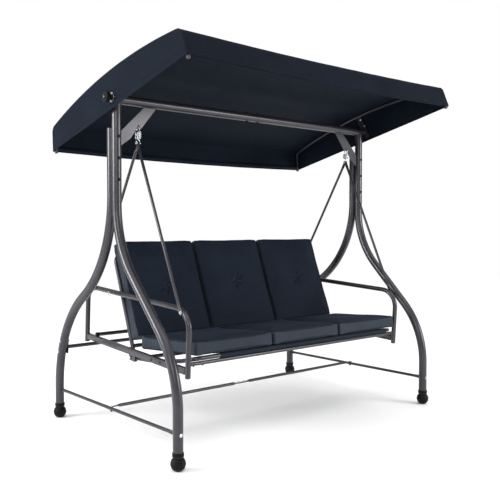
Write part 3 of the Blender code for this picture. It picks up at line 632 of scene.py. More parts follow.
def build_springs():
    for side, sign in SIDES.items():
        x = sign * SPRING_X
        path = at_x(x, arc((0.0, -TOP_HOOK_RADIUS), TOP_HOOK_RADIUS, -60, 240, 28))
        turns, steps = 8, 24
        for i in range(turns * steps + 1):
            angle = math.radians(240 + 360 * i / steps)
            drop = COIL_TOP - 0.003 - (COIL_TOP - 0.006 - COIL_BOTTOM) * i / (turns * steps)
            path.append((x + COIL_RADIUS * math.cos(angle), COIL_RADIUS * math.sin(angle), drop))
        for a, w in arc((x, COIL_BOTTOM - LOW_HOOK_RADIUS), LOW_HOOK_RADIUS, 110, -190, 28):
            path.append((a, 0.0, w))
        node = f"spring_{side}"
        zinc(f"wire_{node}", swept(path, WIRE_RADIUS, 10), SEAT, "seat", node, smooth=60.0)
        pin_w = HANGER_HOLE_W + 0.0015
        pin = turned((x - 0.012, 0, pin_w), (1, 0, 0), ((0, 0.003), (0.024, 0.003)), 16)
        heads = []
        for out in (-1, 1):
            heads.append(bolt((x + out * 0.0085, 0, pin_w), (out, 0, 0), 0.0050, 0.0040, 0.0070))
        zinc(f"hanger_top_bolt_{side}", merged(pin, *heads), SEAT, "seat")


def arm_path():
    front = (ARM_FRONT_U + ARM_FRONT_BEND, ARM_TOP_W - ARM_FRONT_BEND)
    rear = (ARM_REAR_U - ARM_REAR_BEND, ARM_TOP_W - ARM_REAR_BEND)
    path = [(ARM_FRONT_U, ARM_BOTTOM_W)]
    path += arc(front, ARM_FRONT_BEND, 180, 90, 20)
    path += arc(rear, ARM_REAR_BEND, 90, 0, 20)
    path.append((ARM_REAR_U, ARM_BOTTOM_W))
    return path


def hanger_feet():
    angle = math.radians(119.6)
    front = (ARM_FRONT_U + ARM_FRONT_BEND * (1 + math.cos(angle)),
             ARM_TOP_W - ARM_FRONT_BEND * (1 - math.sin(angle)))
    return front, (0.385, ARM_TOP_W)


def build_hangers():
    foot_x = ARM_X + ARM_RADIUS + 0.0018
    for side, sign in SIDES.items():
        for place, shift, low in zip(("front", "rear"), (0.0020, -0.0020), hanger_feet()):
            top = Vector((sign * (SPRING_X + shift), 0.0, HANGER_HOLE_W))
            bottom = Vector((sign * foot_x, *low))
            along = (bottom - top).normalized()
            node = f"hanger_{place}_{side}"
            bar = flat_ended_bar(top - along * 0.009, bottom + along * 0.012, (1, 0, 0), 0.007, 0.038)
            steel(f"bar_{node}", bar, SEAT, "seat", node)
            outside = bottom + Vector((sign * 0.0014, 0, 0))
            head = bolt(outside, (sign, 0, 0), 0.0058, 0.0045, 0.0085)
            zinc(f"hanger_bolt_{place}_{side}", head, SEAT, "seat")
            inside = (sign * (ARM_X - ARM_RADIUS + 0.0006), *low)
            nut = bolt(inside, (-sign, 0, 0), 0.0040, 0.0030, 0.0055)
            zinc(f"hanger_nut_{place}_{side}", nut, SEAT, "seat")


def build_armrests():
    for side, sign in SIDES.items():
        x = sign * ARM_X
        node = f"armrest_{side}"
        steel(f"tube_{node}", swept(at_x(x, arm_path()), ARM_RADIUS, 28), SEAT, "seat", node)
        for place, u in (("front", ARM_FRONT_U), ("rear", ARM_REAR_U)):
            profile = ((0, 0.0124), (0.0016, 0.0122), (0.0024, 0.0105))
            plug = turned((x, u, ARM_BOTTOM_W + 0.0004), (0, 0, -1), profile, 24)
            black(f"arm_plug_{place}_{side}", plug, SEAT, "seat")
        low = (x - RAIL_HALF_WIDTH, ARM_FRONT_U + ARM_RADIUS, RAIL_W - RAIL_HALF_HEIGHT)
        high = (x + RAIL_HALF_WIDTH, ARM_REAR_U - ARM_RADIUS, RAIL_W + RAIL_HALF_HEIGHT)
        node = f"side_rail_{side}"
        steel(f"box_{node}", rounded_block(low, high, 0.0022), SEAT, "seat", node)
        for place, u in (("front", -0.232), ("middle", -0.161)):
            outside = (x + sign * (RAIL_HALF_WIDTH - 0.0004), u, RAIL_W)
            seam(f"pan_bolt_{place}_{side}", bolt(outside, (sign, 0, 0), 0.0050, 0.0038, 0.0072), SEAT, "seat")
            reach = x - sign * RAIL_HALF_WIDTH
            span = abs(reach) - PAN_X
            pin = turned((reach, u, RAIL_W), (-sign, 0, 0), ((0, 0.0075), (span - TUBE_RADIUS, 0.0075)), 20)
            black(f"pan_spacer_{place}_{side}", pin, SEAT, "seat")


def build_pan():
    reach = ARM_X - ARM_RADIUS
    rail = ((0, 0.009), (2 * reach, 0.009))
    bar = turned((-reach, *FRONT_RAIL), (1, 0, 0), rail, 28)
    steel("tube_seat_front_rail", bar, SEAT, "seat", "seat_front_rail")
    bend = 0.035
    side = ((0.030, -1.1234), (-0.070, -1.1125), (-0.161, -1.0996), (-0.339, -1.0620))
    half = [(PAN_X, u, w) for u, w in side]
    for a, u in arc((PAN_X - bend, PAN_FRONT[0] + bend), bend, 0, -90, 12):
        half.append((a, u, PAN_FRONT[1] - 0.3 * (u - PAN_FRONT[0])))
    path = half + [(-x, u, w) for x, u, w in reversed(half)]
    profile = ((0, TUBE_RADIUS * 0.99), (2 * PAN_X, TUBE_RADIUS * 0.99))
    cross = turned((-PAN_X, *PAN_REAR), (1, 0, 0), profile, 24)
    steel("tube_seat_pan", merged(swept(path, TUBE_RADIUS, 24), cross), SEAT, "seat", "seat_pan_frame")
    half_bar = ARM_X + 0.004
    ends = ((0, TUBE_RADIUS - 0.0004), (0.0004, TUBE_RADIUS), (2 * half_bar - 0.0004, TUBE_RADIUS),
            (2 * half_bar, TUBE_RADIUS - 0.0004))
    steel("tube_rest_bar", turned((-half_bar, *REST_BAR), (1, 0, 0), ends, 24), SEAT, "seat", "rest_bar")
    for side, sign in SIDES.items():
        cap = ((-0.010, TUBE_RADIUS + 0.0011), (0.0035, TUBE_RADIUS + 0.0011), (0.0050, TUBE_RADIUS - 0.001))
        black(f"rest_bar_cap_{side}", turned((sign * half_bar, *REST_BAR), (sign, 0, 0), cap, 24), SEAT, "seat")
        for place, x in (("outer", 0.690), ("inner", 0.640)):
            at = (sign * x, FRONT_RAIL[0], FRONT_RAIL[1] - 0.0086)
            seam(f"front_rail_screw_{place}_{side}", bolt(at, (0, 0, -1), 0.0040, 0.0030, 0.0058), SEAT, "seat")


def build_lock_pins():
    outer = ARM_X + ARM_RADIUS + 0.010
    inner = ARM_X - ARM_RADIUS - 0.003
    length = outer - inner
    at = Vector((0.0, LOCK_PIN_U, ARM_TOP_W))
    shaft = ((0, 0.0018), (0.0016, 0.003), (length, 0.003), (length, 0.0050), (length + 0.0024, 0.0050),
             (length + 0.003, 0.0044))
    for side, sign in SIDES.items():
        node = f"lock_pin_{side}"
        start = at + Vector((sign * inner, 0, 0))
        hook = ring_of(at + Vector((sign * (outer - 0.004), 0, -0.0105)), (1, 0, 0), 0.0105, 0.0013)
        zinc(f"pull_{node}", merged(turned(start, (sign, 0, 0), shaft, 24), hook), SEAT, node, node)


# ---------------------------------------------------------------- slings

def wrapped_sheet(first, last, reach, sheet, droop):
    """Outline (a, b) of a sheet pulled over two bars, closed round each and drooping between them."""
    outer = reach + sheet
    slope = math.degrees(math.atan2(last[1] - first[1], last[0] - first[0]))
    made = arc(last, outer, 90 + slope, -150 + slope, 16)
    made += arc(last, reach, -150 + slope, 90 - 12 + slope, 15)
    start, end = Vector(made[-1]), Vector(arc(first, reach, 90 + 12 + slope, 90 + 12 + slope, 1)[0])
    down = Vector((math.sin(math.radians(slope)), -math.cos(math.radians(slope))))
    made += drooping(start, end, down * droop)
    made += arc(first, reach, 90 + 12 + slope, 330 + slope, 15)
    made += arc(first, outer, 330 + slope, 90 + slope, 16)
    made += drooping(Vector(made[-1]), Vector(made[0]), down * droop)
    return made


def drooping(start, end, drop, count=14):
    made = []
    for k in range(1, count):
        t = k / count
        point = start.lerp(end, t) + drop * 4 * t * (1 - t)
        made.append((point.x, point.y))
    return made


def sling(name, outline, low_x, high_x, turn, place, body, node):
    """A sheet across the frame, a little slack, with a turned hem at each side."""
    rows = 40
    rings = []
    for i in range(rows + 1):
        x = low_x + (high_x - low_x) * i / rows
        slack = 1.0 + 0.25 * noise.noise(Vector((x * 6.0, 3.1, 0.0)))
        middle_a = sum(a for a, b in outline) / len(outline)
        ring = []
        for a, b in outline:
            ripple = 0.0006 * slack * math.sin(a * 60 + 5 * noise.noise(Vector((x * 9.0, a * 4.0, 1.7))))
            inside = abs(a - middle_a) < 0.4 * (outline_span(outline))
            ring.append(turn(x, a, b + (ripple if inside else 0.0)))
        rings.append(ring)
    made = piece(name, loft(rings), place, body, SLING_CLOTH, "sling_fabric", (node,), 35.0)
    return made


def outline_span(outline):
    return max(a for a, b in outline) - min(a for a, b in outline)


def build_slings():
    reach = TUBE_RADIUS + 0.0003
    outline = wrapped_sheet(PAN_FRONT, PAN_REAR, reach, 0.0016, 0.006)
    sling("cloth_seat_sling", outline, -0.545, 0.640, lambda x, a, b: (x, a, b), SEAT, "seat", "seat_sling")
    outline = wrapped_sheet((BACK_LOW_H, 0.0), (BACK_TOP_H, 0.0), reach, 0.0016, 0.005)
    sling("cloth_back_sling", outline, -0.610, 0.610, lambda x, a, b: (x, -b, a), BACK, "backrest",
          "back_sling")


# ---------------------------------------------------------------- cushions

def as_object(name, shape):
    mesh = bpy.data.meshes.new(name)
    bmesh.ops.recalc_face_normals(shape, faces=shape.faces)
    shape.to_mesh(mesh)
    shape.free()
    made = bpy.data.objects.new(name, mesh)
    bpy.context.scene.collection.objects.link(made)
    return made


def applied(made):
    """The object's mesh with its modifiers applied, and none left on it."""
    graph = bpy.context.evaluated_depsgraph_get()
    mesh = bpy.data.meshes.new_from_object(made.evaluated_get(graph), depsgraph=graph)
    made.modifiers.clear()
    old = made.data
    made.data = mesh
    bpy.data.meshes.remove(old)


def smoothstep(value):
    t = min(max(value, 0.0), 1.0)
    return t * t * (3 - 2 * t)


VOXEL = 0.0075
FRAMES = 18
CLOTH_PRESSURE = 4.0


def blown(made):
    """Where the points of a closed skin go when it is pumped up for a moment, without gravity."""
    cloth = made.modifiers.new("pumped", "CLOTH")
    settings = cloth.settings
    settings.quality = 5
    settings.mass = 0.2
    settings.tension_stiffness = 14.0
    settings.compression_stiffness = 8.0
    settings.shear_stiffness = 4.0
    settings.bending_stiffness = 0.35
    settings.use_pressure = True
    settings.uniform_pressure_force = CLOTH_PRESSURE
    settings.effector_weights.gravity = 0.0
    cloth.point_cache.frame_start = 1
    cloth.point_cache.frame_end = FRAMES
    scene = bpy.context.scene
    for step in range(1, FRAMES + 1):
        scene.frame_set(step)
    graph = bpy.context.evaluated_depsgraph_get()
    ready = made.evaluated_get(graph)
    moved = [vertex.co.copy() for vertex in ready.data.vertices]
    made.modifiers.clear()
    scene.frame_set(1)
    return moved


def padded_form(name, low, high, thin, out, crown, wander):
    """A boxed foam cushion in its own frame, from a slightly small box blown up by cloth.

    thin is the axis across the cushion and out the sign of its good face; the other face
    lies flat on its sling. crown is how far the good face may rise, wander seeds its folds.
    """
    inset = 0.0035
    small_low = [value + inset for value in low]
    small_high = [value - inset for value in high]
    if out > 0:
        small_low[thin] = low[thin] + 0.0008
    else:
        small_high[thin] = high[thin] - 0.0008
    made = as_object(name, rounded_block(small_low, small_high, 0.009, 4))
    remesh = made.modifiers.new("even", "REMESH")
    remesh.mode = "VOXEL"
    remesh.voxel_size = VOXEL
    applied(made)
    flat_axes = [axis for axis in range(3) if axis != thin]
    middle = [(a + b) / 2 for a, b in zip(low, high)]
    half = [(b - a) / 2 for a, b in zip(low, high)]
    start = [vertex.co.copy() for vertex in made.data.vertices]
    normals = [vertex.normal.copy() for vertex in made.data.vertices]
    moved = blown(made)
    for vertex, before, after, normal in zip(made.data.vertices, start, moved, normals):
        edge = min(half[axis] - abs(before[axis] - middle[axis]) for axis in flat_axes)
        facing = normal[thin] * out
        if facing > 0.35:
            limit = 0.003 + crown * smoothstep(edge / 0.12)
        elif facing < -0.35:
            limit = 0.0006
        else:
            limit = 0.0042
        step = after - before
        if step.length > limit:
            step *= limit / step.length
        point = before + step
        for axis in flat_axes:
            other = [a for a in flat_axes if a != axis][0]
            share = (point[other] - middle[other]) / half[other]
            side = smoothstep((abs(point[axis] - middle[axis]) - half[axis] + 0.06) / 0.06)
            pull = 0.0030 * (1 - share * share) * side
            point[axis] -= math.copysign(pull, point[axis] - middle[axis])
        if facing > -0.35:
            seed = Vector((wander * 3.7, wander * 1.3, wander * 7.1))
            soft = noise.noise(point * 9.0 + seed) * 0.0014 + noise.noise(point * 26.0 + seed) * 0.0006
            point += normal * soft
        vertex.co = point
    surface = made.modifiers.new("smooth", "SUBSURF")
    surface.levels = 1
    surface.render_levels = 1
    applied(made)
    return made


def tuft(made, button, thin, out, depth, spread, wander):
    """Pull a cushion's good face in round a button, with creases that run out from it."""
    flat_axes = [axis for axis in range(3) if axis != thin]
    for vertex in made.data.vertices:
        if vertex.normal[thin] * out < 0.2:
            continue
        a = vertex.co[flat_axes[0]] - button[0]
        b = vertex.co[flat_axes[1]] - button[1]
        reach = math.hypot(a, b)
        if reach > 0.16:
            continue
        angle = math.atan2(b, a)
        dent = depth * math.exp(-(reach / spread) ** 1.15)
        rays = math.cos(7 * angle + wander) + 0.6 * math.cos(4 * angle - 2.1 * wander)
        crease = 0.0034 * rays * math.exp(-((reach - 0.032) / 0.026) ** 2)
        vertex.co[thin] -= out * (dent + crease)


def surface_tree(made):
    graph = bpy.context.evaluated_depsgraph_get()
    return BVHTree.FromObject(made, graph)


def edge_line(tree, low, high, thin, side, corner, count=220):
    """A closed line along the cushion's edge, laid on its real surface."""
    flat_axes = [axis for axis in range(3) if axis != thin]
    a, b = flat_axes
    middle = Vector([(p + q) / 2 for p, q in zip(low, high)])
    half_a, half_b = (high[a] - low[a]) / 2, (high[b] - low[b]) / 2
    level = high[thin] if side > 0 else low[thin]
    line = []
    for k in range(count):
        angle = 2 * math.pi * (k + 0.5) / count
        ca, sa = math.cos(angle), math.sin(angle)
        power = 10.0
        reach = (abs(ca / half_a) ** power + abs(sa / half_b) ** power) ** (-1 / power)
        out = Vector((0, 0, 0))
        grade_a = math.copysign(abs(ca * reach / half_a) ** (power - 1) / half_a, ca)
        grade_b = math.copysign(abs(sa * reach / half_b) ** (power - 1) / half_b, sa)
        size = math.hypot(grade_a, grade_b)
        out[a], out[b], out[thin] = grade_a / size, grade_b / size, 0.85 * side
        out.normalize()
        point = middle.copy()
        point[a] += ca * reach
        point[b] += sa * reach
        point[thin] = level
        hit = tree.ray_cast(point + out * 0.04, -out, 0.08)[0]
        if hit is not None:
            line.append(hit + out * corner)
    for _ in range(2):
        count = len(line)
        line = [(line[k - 1] + line[k] * 2 + line[(k + 1) % count]) / 4 for k in range(count)]
    return line


def even(line, step):
    """A closed line with points evenly spaced along it."""
    ring = line + line[:1]
    lengths = [0.0]
    for start, end in zip(ring, ring[1:]):
        lengths.append(lengths[-1] + (end - start).length)
    count = max(8, int(lengths[-1] / step))
    made, k = [], 0
    for i in range(count):
        want = lengths[-1] * i / count
        while lengths[k + 1] < want:
            k += 1
        share = (want - lengths[k]) / (lengths[k + 1] - lengths[k])
        made.append(ring[k].lerp(ring[k + 1], share))
    return made


def finish_cushion(made, place, body, nodes, thin):
    """Give a cushion its cloths, the plain one on its faces and a lighter copy on its gusset as painted light for
    its brighter lit sides, and let it ride.
    """
    mesh = made.data
    mesh.materials.append(CUSHION_CLOTH)
    mesh.materials.append(LIT_GUSSET_CLOTH)
    # The sides take the lighter gusset cloth, which is painted light.
    for face in mesh.polygons:
        face.material_index = 0 if abs(face.normal[thin]) > 0.72 else 1
    mesh.transform(place)
    mesh.shade_smooth()
    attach(made, body)
    if nodes:
        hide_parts(*nodes)


def piping(name, tree, low, high, thin, side, place, body):
    line = even(edge_line(tree, low, high, thin, side, 0.0008), 0.007)
    made = piece(name, swept(line, 0.0019, 8, closed=True), place, body, CUSHION_CLOTH, "cushion_fabric")
    made.data.shade_smooth()


def build_seat_cushion():
    slope = SEAT @ frame_at((0.0, *SEAT_FRONT_BOTTOM), -SEAT_SLOPE)
    for i, place in enumerate(("left", "middle", "right")):
        x = (i - 1) * PITCH
        low = (x - PITCH / 2 + 0.0006, 0.0, 0.0)
        high = (x + PITCH / 2 - 0.0006, SEAT_LENGTH, SEAT_THICKNESS)
        made = padded_form(f"seat_pad_{place}", low, high, 2, 1, 0.009, 1.0 + i)
        tree = surface_tree(made)
        for level, side in (("top", 1), ("bottom", -1)):
            piping(f"seat_piping_{level}_{place}", tree, low, high, 2, side, slope, "seat")
        finish_cushion(made, slope, "seat", ("seat_cushion",) if i == 0 else (), 2)


def build_back_cushions():
    button_h = CUSHION_LOW_H + 0.5 * (CUSHION_TOP_H - CUSHION_LOW_H)
    for i, place in enumerate(("left", "middle", "right")):
        x = (i - 1) * PITCH
        low = (x - PITCH / 2 + 0.0016, CUSHION_FRONT_N, CUSHION_LOW_H)
        high = (x + PITCH / 2 - 0.0016, CUSHION_REAR_N, CUSHION_TOP_H)
        node = f"back_cushion_{place}"
        made = padded_form(f"back_pad_{place}", low, high, 1, -1, 0.012, 5.0 + i)
        tree = surface_tree(made)
        face = tree.ray_cast(Vector((x, -0.2, button_h)), Vector((0, 1, 0)))[0].y
        tuft(made, (x, button_h), 1, -1, 0.0230, 0.016, 1.9 * i)
        for level, side in (("front", -1), ("rear", 1)):
            piping(f"back_piping_{level}_{place}", tree, low, high, 1, side, BACK, "backrest")
        dome = ((0, 0.0105), (0.0020, 0.0112), (0.0045, 0.0100), (0.0062, 0.0070), (0.0068, 0.0030))
        button = turned((x, face + 0.0175, button_h), (0, -1, 0), dome, 28)
        piece(f"button_{place}", button, BACK, "backrest", CUSHION_CLOTH, "cushion_fabric", (), 60.0)
        finish_cushion(made, BACK, "backrest", (node,), 1)


def build_back_frame():
    bend = 0.055
    half = [(PAN_X, 0.0, BACK_TAIL_H)]
    for a, h in arc((PAN_X - bend, BACK_TOP_H - bend), bend, 0, 90, 16):
        half.append((a, 0.0, h))
    path = half + [(-x, n, h) for x, n, h in reversed(half)]
    profile = ((0, TUBE_RADIUS * 0.99), (2 * PAN_X, TUBE_RADIUS * 0.99))
    cross = turned((-PAN_X, 0.0, BACK_LOW_H), (1, 0, 0), profile, 24)
    steel("tube_back_frame", merged(swept(path, TUBE_RADIUS, 24), cross), BACK, "backrest", "back_frame")


# ---------------------------------------------------------------- canopy

def corner_curve(before, at, after, steps):
    here = Vector(at)
    first = here + (Vector(before) - here).normalized() * ROOF_CORNER
    last = here + (Vector(after) - here).normalized() * ROOF_CORNER
    made = []
    for i in range(steps + 1):
        t = i / steps
        point = first * (1 - t) ** 2 + here * 2 * t * (1 - t) + last * t ** 2
        made.append((point.x, point.y))
    return made


def roof_profile(inset=0.0, steps=36, rounding=8):
    """Canopy section (u, w) from the front hem over the roof to the rear hem."""
    half = (ROOF_REAR[0] - ROOF_FRONT[0]) / 2
    radius = (half ** 2 + ROOF_RISE ** 2) / (2 * ROOF_RISE)
    middle = ((ROOF_FRONT[0] + ROOF_REAR[0]) / 2, ROOF_FRONT[1] + ROOF_RISE - radius)
    swing = math.degrees(math.asin(half / radius))
    edge = math.degrees(ROOF_EDGE / radius)
    roof = arc(middle, radius, 90 + swing - edge, 90 - swing + edge, steps)
    path = [HEM_FRONT]
    path += corner_curve(HEM_FRONT, ROOF_FRONT, roof[0], rounding)
    path += roof[1:-1]
    path += corner_curve(roof[-1], ROOF_REAR, HEM_REAR, rounding)
    path.append(HEM_REAR)
    made = []
    for i, point in enumerate(path):
        back = Vector(path[max(i - 1, 0)])
        ahead = Vector(path[min(i + 1, len(path) - 1)])
        along = (ahead - back).normalized()
        made.append((point[0] + along.y * inset, point[1] - along.x * inset))
    return made


def sag(x):
    return -CANOPY_SAG * (1 - (x / CANOPY_HALF_LENGTH) ** 2)


HEM_WIDTH = 0.027
HEM_STEPS = (0.0, 0.0016, 0.0050, 0.0110, 0.0180, 0.0235, 0.0252, 0.0263, 0.0270, 0.0277, 0.0288, 0.0305,
             0.0380, 0.0500, 0.0660)


def canopy_section():
    """The outer section with close points by each hem, and every point's distance to the hem."""
    path = [Vector(point) for point in roof_profile(0.0006)]
    front = [path[0].lerp(path[1], d / (path[1] - path[0]).length) for d in HEM_STEPS]
    rear = [path[-1].lerp(path[-2], d / (path[-2] - path[-1]).length) for d in HEM_STEPS]
    return front + path[1:-1] + rear[::-1]


def hem_relief(distance):
    """How far the cloth stands out near its hem: a doubled band with a sunk line of stitches."""
    band = 0.0014 * (1 - smoothstep((distance - HEM_WIDTH) / 0.003))
    stitch = 0.0018 * math.exp(-((distance - HEM_WIDTH + 0.001) / 0.0015) ** 2)
    return band - stitch


def build_canopy():
    """The whole cover as one curved sheet: roof, two valances and two side panels."""
    section = canopy_section()
    count = len(section)
    lengths = [0.0]
    for start, end in zip(section, section[1:]):
        lengths.append(lengths[-1] + (end - start).length)
    total = lengths[-1]
    rows = 96
    made = bmesh.new()
    grid = []
    for i in range(rows + 1):
        x = CANOPY_HALF_LENGTH * (2 * i / rows - 1)
        inside = 1 - (x / CANOPY_HALF_LENGTH) ** 6
        row = []
        for j, point in enumerate(section):
            back, ahead = section[max(j - 1, 0)], section[min(j + 1, count - 1)]
            along = (ahead - back).normalized()
            normal = Vector((-along.y, along.x))
            to_hem = min(lengths[j], total - lengths[j])
            drift = Vector((x * 2.2, point.x * 3.0, point.y * 3.0))
            if to_hem < 0.14:
                loose = 1 - to_hem / 0.14
                wave = math.sin(x * 21 + 2.5 * noise.noise(drift)) * 0.0016 * loose
                wave += noise.noise(drift * 4.0) * 0.0012
            else:
                taut = smoothstep((to_hem - 0.14) / 0.25)
                wave = -0.006 * taut * (0.6 + 0.4 * math.cos(x * 3.4))
                wave += noise.noise(drift * 1.4 + Vector((5.0, 0, 0))) * 0.0035 * taut
                wave += noise.noise(Vector((x * 1.5, point.x * 16.0, 9.0))) * 0.0011
            shift = normal * (wave * inside + hem_relief(to_hem))
            row.append(made.verts.new((x, point.x + shift.x, point.y + shift.y + sag(x))))
        grid.append(row)
    for low, high in zip(grid, grid[1:]):
        for j in range(count - 1):
            made.faces.new((low[j], low[j + 1], high[j + 1], high[j]))
    start, end = section[0], section[-1]
    levels = 16
    for edge, sign in ((grid[0], -1), (grid[-1], 1)):
        columns = []
        for j, vertex in enumerate(edge):
            share = min(max((section[j].x - start.x) / (end.x - start.x), 0.0), 1.0)
            foot = start.lerp(end, share)
            top = Vector((vertex.co.y, vertex.co.z))
            depth = (top - foot).length
            if depth < 0.0005:
                columns.append([vertex] * (levels + 1))
                continue
            column = [vertex]
            marks = [d for d in HEM_STEPS if d < depth * 0.6][::-1]
            free = levels - len(marks)
            near = marks[0] if marks else 0.0
            distances = [depth + (near - depth) * (k + 1) / (free + 1) for k in range(free)] + marks
            for distance in distances:
                here = foot.lerp(top, distance / depth)
                clamp = 1 - math.exp(-((here.x ** 2 + here.y ** 2) / 0.09 ** 2))
                billow = math.sin(math.pi * min(distance / depth, 1.0) * 0.8) * 0.004
                billow += noise.noise(Vector((here.x * 5.0, here.y * 5.0, sign * 4.0))) * 0.0025
                reach = CANOPY_HALF_LENGTH + 0.0004 - billow * clamp * 0.8 + hem_relief(distance)
                column.append(made.verts.new((sign * reach, here.x, here.y)))
            columns.append(column)
        for first, second in zip(columns, columns[1:]):
            for k in range(levels):
                corners = [first[k], second[k], second[k + 1], first[k + 1]]
                unique = [v for n, v in enumerate(corners) if v not in corners[:n]]
                if len(unique) > 2:
                    made.faces.new(unique)
    bmesh.ops.recalc_face_normals(made, faces=made.faces)
    area = sum(face.calc_area() for face in made.faces)
    cover = piece("cloth_canopy", made, CANOPY, "canopy", CANOPY_CLOTH, "canopy_fabric",
                  ("canopy_cover",), 50.0)
    thick = cover.modifiers.new("cloth", "SOLIDIFY")
    thick.thickness = 0.0014
    thick.offset = -1.0
    applied(cover)
    cover.data.shade_smooth()
    cover.data.set_sharp_from_angle(angle=math.radians(50))
    return section


def build_canopy_trim(section):
    """Bound seams where the roof and the side panels meet."""
    for side, sign in SIDES.items():
        x = sign * (CANOPY_HALF_LENGTH + 0.0002)
        line = [(x, point.x, point.y + 0.0002) for point in section[4:-4]]
        piece(f"canopy_binding_{side}", swept(line, 0.0016, 8), CANOPY, "canopy", CANOPY_CLOTH, "canopy_fabric")


def build_canopy_frame():
    inset = CLOTH + 0.0005 + CANOPY_TUBE
    path = roof_profile(inset)
    lower = 0.006
    path[0] = (path[0][0], HEM_FRONT[1] - lower)
    path[-1] = (path[-1][0], HEM_REAR[1] - lower)
    for side, sign in SIDES.items():
        node = f"canopy_arch_{side}"
        steel(f"arch_{side}", swept(at_x(sign * ARCH_X, path), CANOPY_TUBE, 20), CANOPY, "canopy", node)
        for place, end in (("front", path[0]), ("rear", path[-1])):
            at = (sign * ARCH_X, end[0], end[1] + 0.006)
            plug = ((0, CANOPY_TUBE + 0.0010), (0.0095, CANOPY_TUBE + 0.0010), (0.0110, CANOPY_TUBE - 0.001))
            piece(f"arch_plug_{place}_{side}", turned(at, (0, 0, -1), plug, 24), CANOPY, "canopy", GREY_PLUG,
                  "black_plastic")
    reach = ARCH_X - CANOPY_TUBE
    for place, end, lean in (("front", path[0], 1), ("rear", path[-1], -1)):
        points = []
        for i in range(33):
            x = reach * (i / 16 - 1)
            points.append((x, end[0] + lean * 0.0032, -0.040 + sag(x)))
        rail = swept(points, CANOPY_TUBE - 0.0004, 20)
        steel(f"rail_{place}", rail, CANOPY, "canopy", f"canopy_rail_{place}")
        inner = [(math.copysign(min(abs(a), reach - 0.001), a), u, w) for a, u, w in points]
        piece(f"rail_pocket_{place}", swept(inner, CANOPY_TUBE + 0.0006, 20), CANOPY, "canopy", CANOPY_CLOTH,
              "canopy_fabric")
    for side, sign in SIDES.items():
        for k, (u, w) in enumerate(((-0.004, 0.040), (0.016, 0.086))):
            head = (sign * (ARCH_X - 0.0018), u, w)
            zinc(f"strap_bolt_{side}_{k}", bolt(head, (-sign, 0, 0), 0.0042, 0.0034, 0.0060), CANOPY, "canopy")


def build_knobs():
    rounded = ((0, 0.0125), (0.0118, 0.0125), (0.0124, 0.0165), (0.0128, 0.0215), (0.0140, 0.0236),
               (0.0165, 0.0245), (0.0310, 0.0245), (0.0335, 0.0236),
               (0.0350, 0.0215), (0.0356, 0.0190), (0.0350, 0.0165),
               (0.0350, 0.0105), (0.0362, 0.0100), (0.0372, 0.0090), (0.0378, 0.0070))
    axis = AXIS["canopy_tilt"]
    for side, sign in SIDES.items():
        at = Vector((sign * KNOB_START, axis.y, axis.z))
        node = f"knob_{side}"
        grip = turned(at, (sign, 0, 0), rounded, 96, 12, 0.032)
        black(f"grip_{node}", grip, Matrix.Identity(4), node, node)
        insert = ((0.0374, 0.0048), (0.0379, 0.0048), (0.0379, 0.0032), (0.0374, 0.0030))
        zinc(f"insert_{node}", turned(at, (sign, 0, 0), insert, 24), Matrix.Identity(4), node)
        eyelet = turned((sign * (CANOPY_HALF_LENGTH + 0.0004), 0, 0), (sign, 0, 0),
                        ((0, 0.0220), (0.0008, 0.0226), (0.0015, 0.0220), (0.0016, 0.0200)), 40)
        zinc(f"eyelet_{side}", eyelet, CANOPY, "canopy")


# ---------------------------------------------------------------- carried-over nodes, stage, camera

def paint_nodes():
    """Give each CAD node that stays in view its finish."""
    finishes = {"frame_paint": PAINT, "zinc_steel": ZINC, "black_plastic": BLACK}
    slots = {row["node"]: row["material_slot"] for row in frame["record"]["subparts"]}
    for name, node in frame["nodes"].items():
        if node.hide_render:
            continue
        finish = finishes[slots[name]]
        node.data.materials.clear()
        node.data.materials.append(finish)


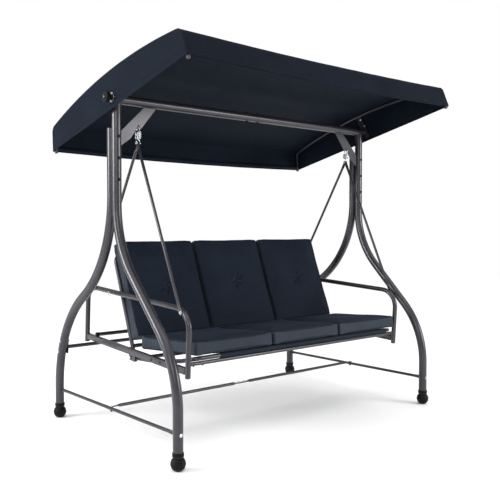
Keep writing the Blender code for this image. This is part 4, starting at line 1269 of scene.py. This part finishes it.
def build_stage():
    made = bmesh.new()
    bmesh.ops.create_circle(made, cap_ends=True, segments=96, radius=14.0)
    floor = as_object("floor", made)
    cover = Graph("studio_floor")
    cover.colour(cover.noise(2.0, 3.0), ((0.3, (0.955, 0.955, 0.957)), (0.7, (0.975, 0.975, 0.976))))
    cover.roughness(cover.noise(9.0, 3.0), 0.75, 0.85)
    floor.data.materials.append(cover.material)
    scene = bpy.context.scene
    world = bpy.data.worlds.new("studio")
    world.use_nodes = True
    backdrop = world.node_tree.nodes["Background"]
    backdrop.inputs["Color"].default_value = (1.0, 1.0, 1.0, 1.0)
    eye = world.node_tree.nodes.new("ShaderNodeLightPath")
    level = world.node_tree.nodes.new("ShaderNodeMapRange")
    level.inputs["To Min"].default_value = 0.52
    level.inputs["To Max"].default_value = 1.0
    world.node_tree.links.new(eye.outputs["Is Camera Ray"], level.inputs["Value"])
    world.node_tree.links.new(level.outputs["Result"], backdrop.inputs["Strength"])
    scene.world = world
    scene.view_settings.view_transform = "Standard"
    for name, position, size, power in (
        ("left_softbox", (-4.4, 1.6, 2.3), 2.2, 210.0),
        ("front_softbox", (2.9, -4.4, 1.9), 2.0, 150.0),
        ("near_softbox", (-4.0, -3.4, 2.6), 1.8, 55.0),
    ):
        data = bpy.data.lights.new(name, "AREA")
        data.shape = "DISK"
        data.size = size
        data.energy = power
        lamp = bpy.data.objects.new(name, data)
        lamp.location = position
        aim = Vector((0.0, 0.0, 0.85)) - Vector(position)
        lamp.rotation_euler = aim.to_track_quat("-Z", "Y").to_euler()
        scene.collection.objects.link(lamp)


def build_overhead():
    """A wide overhead source, even over the whole floor."""
    data = bpy.data.lights.new("overhead", "SUN")
    data.energy = 1.7
    data.angle = math.radians(70)
    lamp = bpy.data.objects.new("overhead", data)
    lamp.rotation_euler = (math.radians(8), 0.0, 0.0)
    bpy.context.scene.collection.objects.link(lamp)


def build_camera():
    data = bpy.data.cameras.new("camera")
    data.sensor_width = 36.0
    data.lens = 50.17
    camera = bpy.data.objects.new("camera", data)
    camera.location = (-2.491, -2.861 + MIDDLE_Y, 1.0055)
    camera.rotation_euler = (math.radians(90 - 1.81), 0.0, math.radians(-40.83))
    bpy.context.scene.collection.objects.link(camera)
    bpy.context.scene.camera = camera


def build():
    build_camera()
    build_stage()
    build_overhead()
    build_legs()
    build_feet()
    build_top_frame()
    build_stretchers()
    build_springs()
    build_hangers()
    build_armrests()
    build_pan()
    build_lock_pins()
    build_slings()
    build_back_frame()
    build_seat_cushion()
    build_back_cushions()
    section = build_canopy()
    build_canopy_trim(section)
    build_canopy_frame()
    build_knobs()
    paint_nodes()


build()
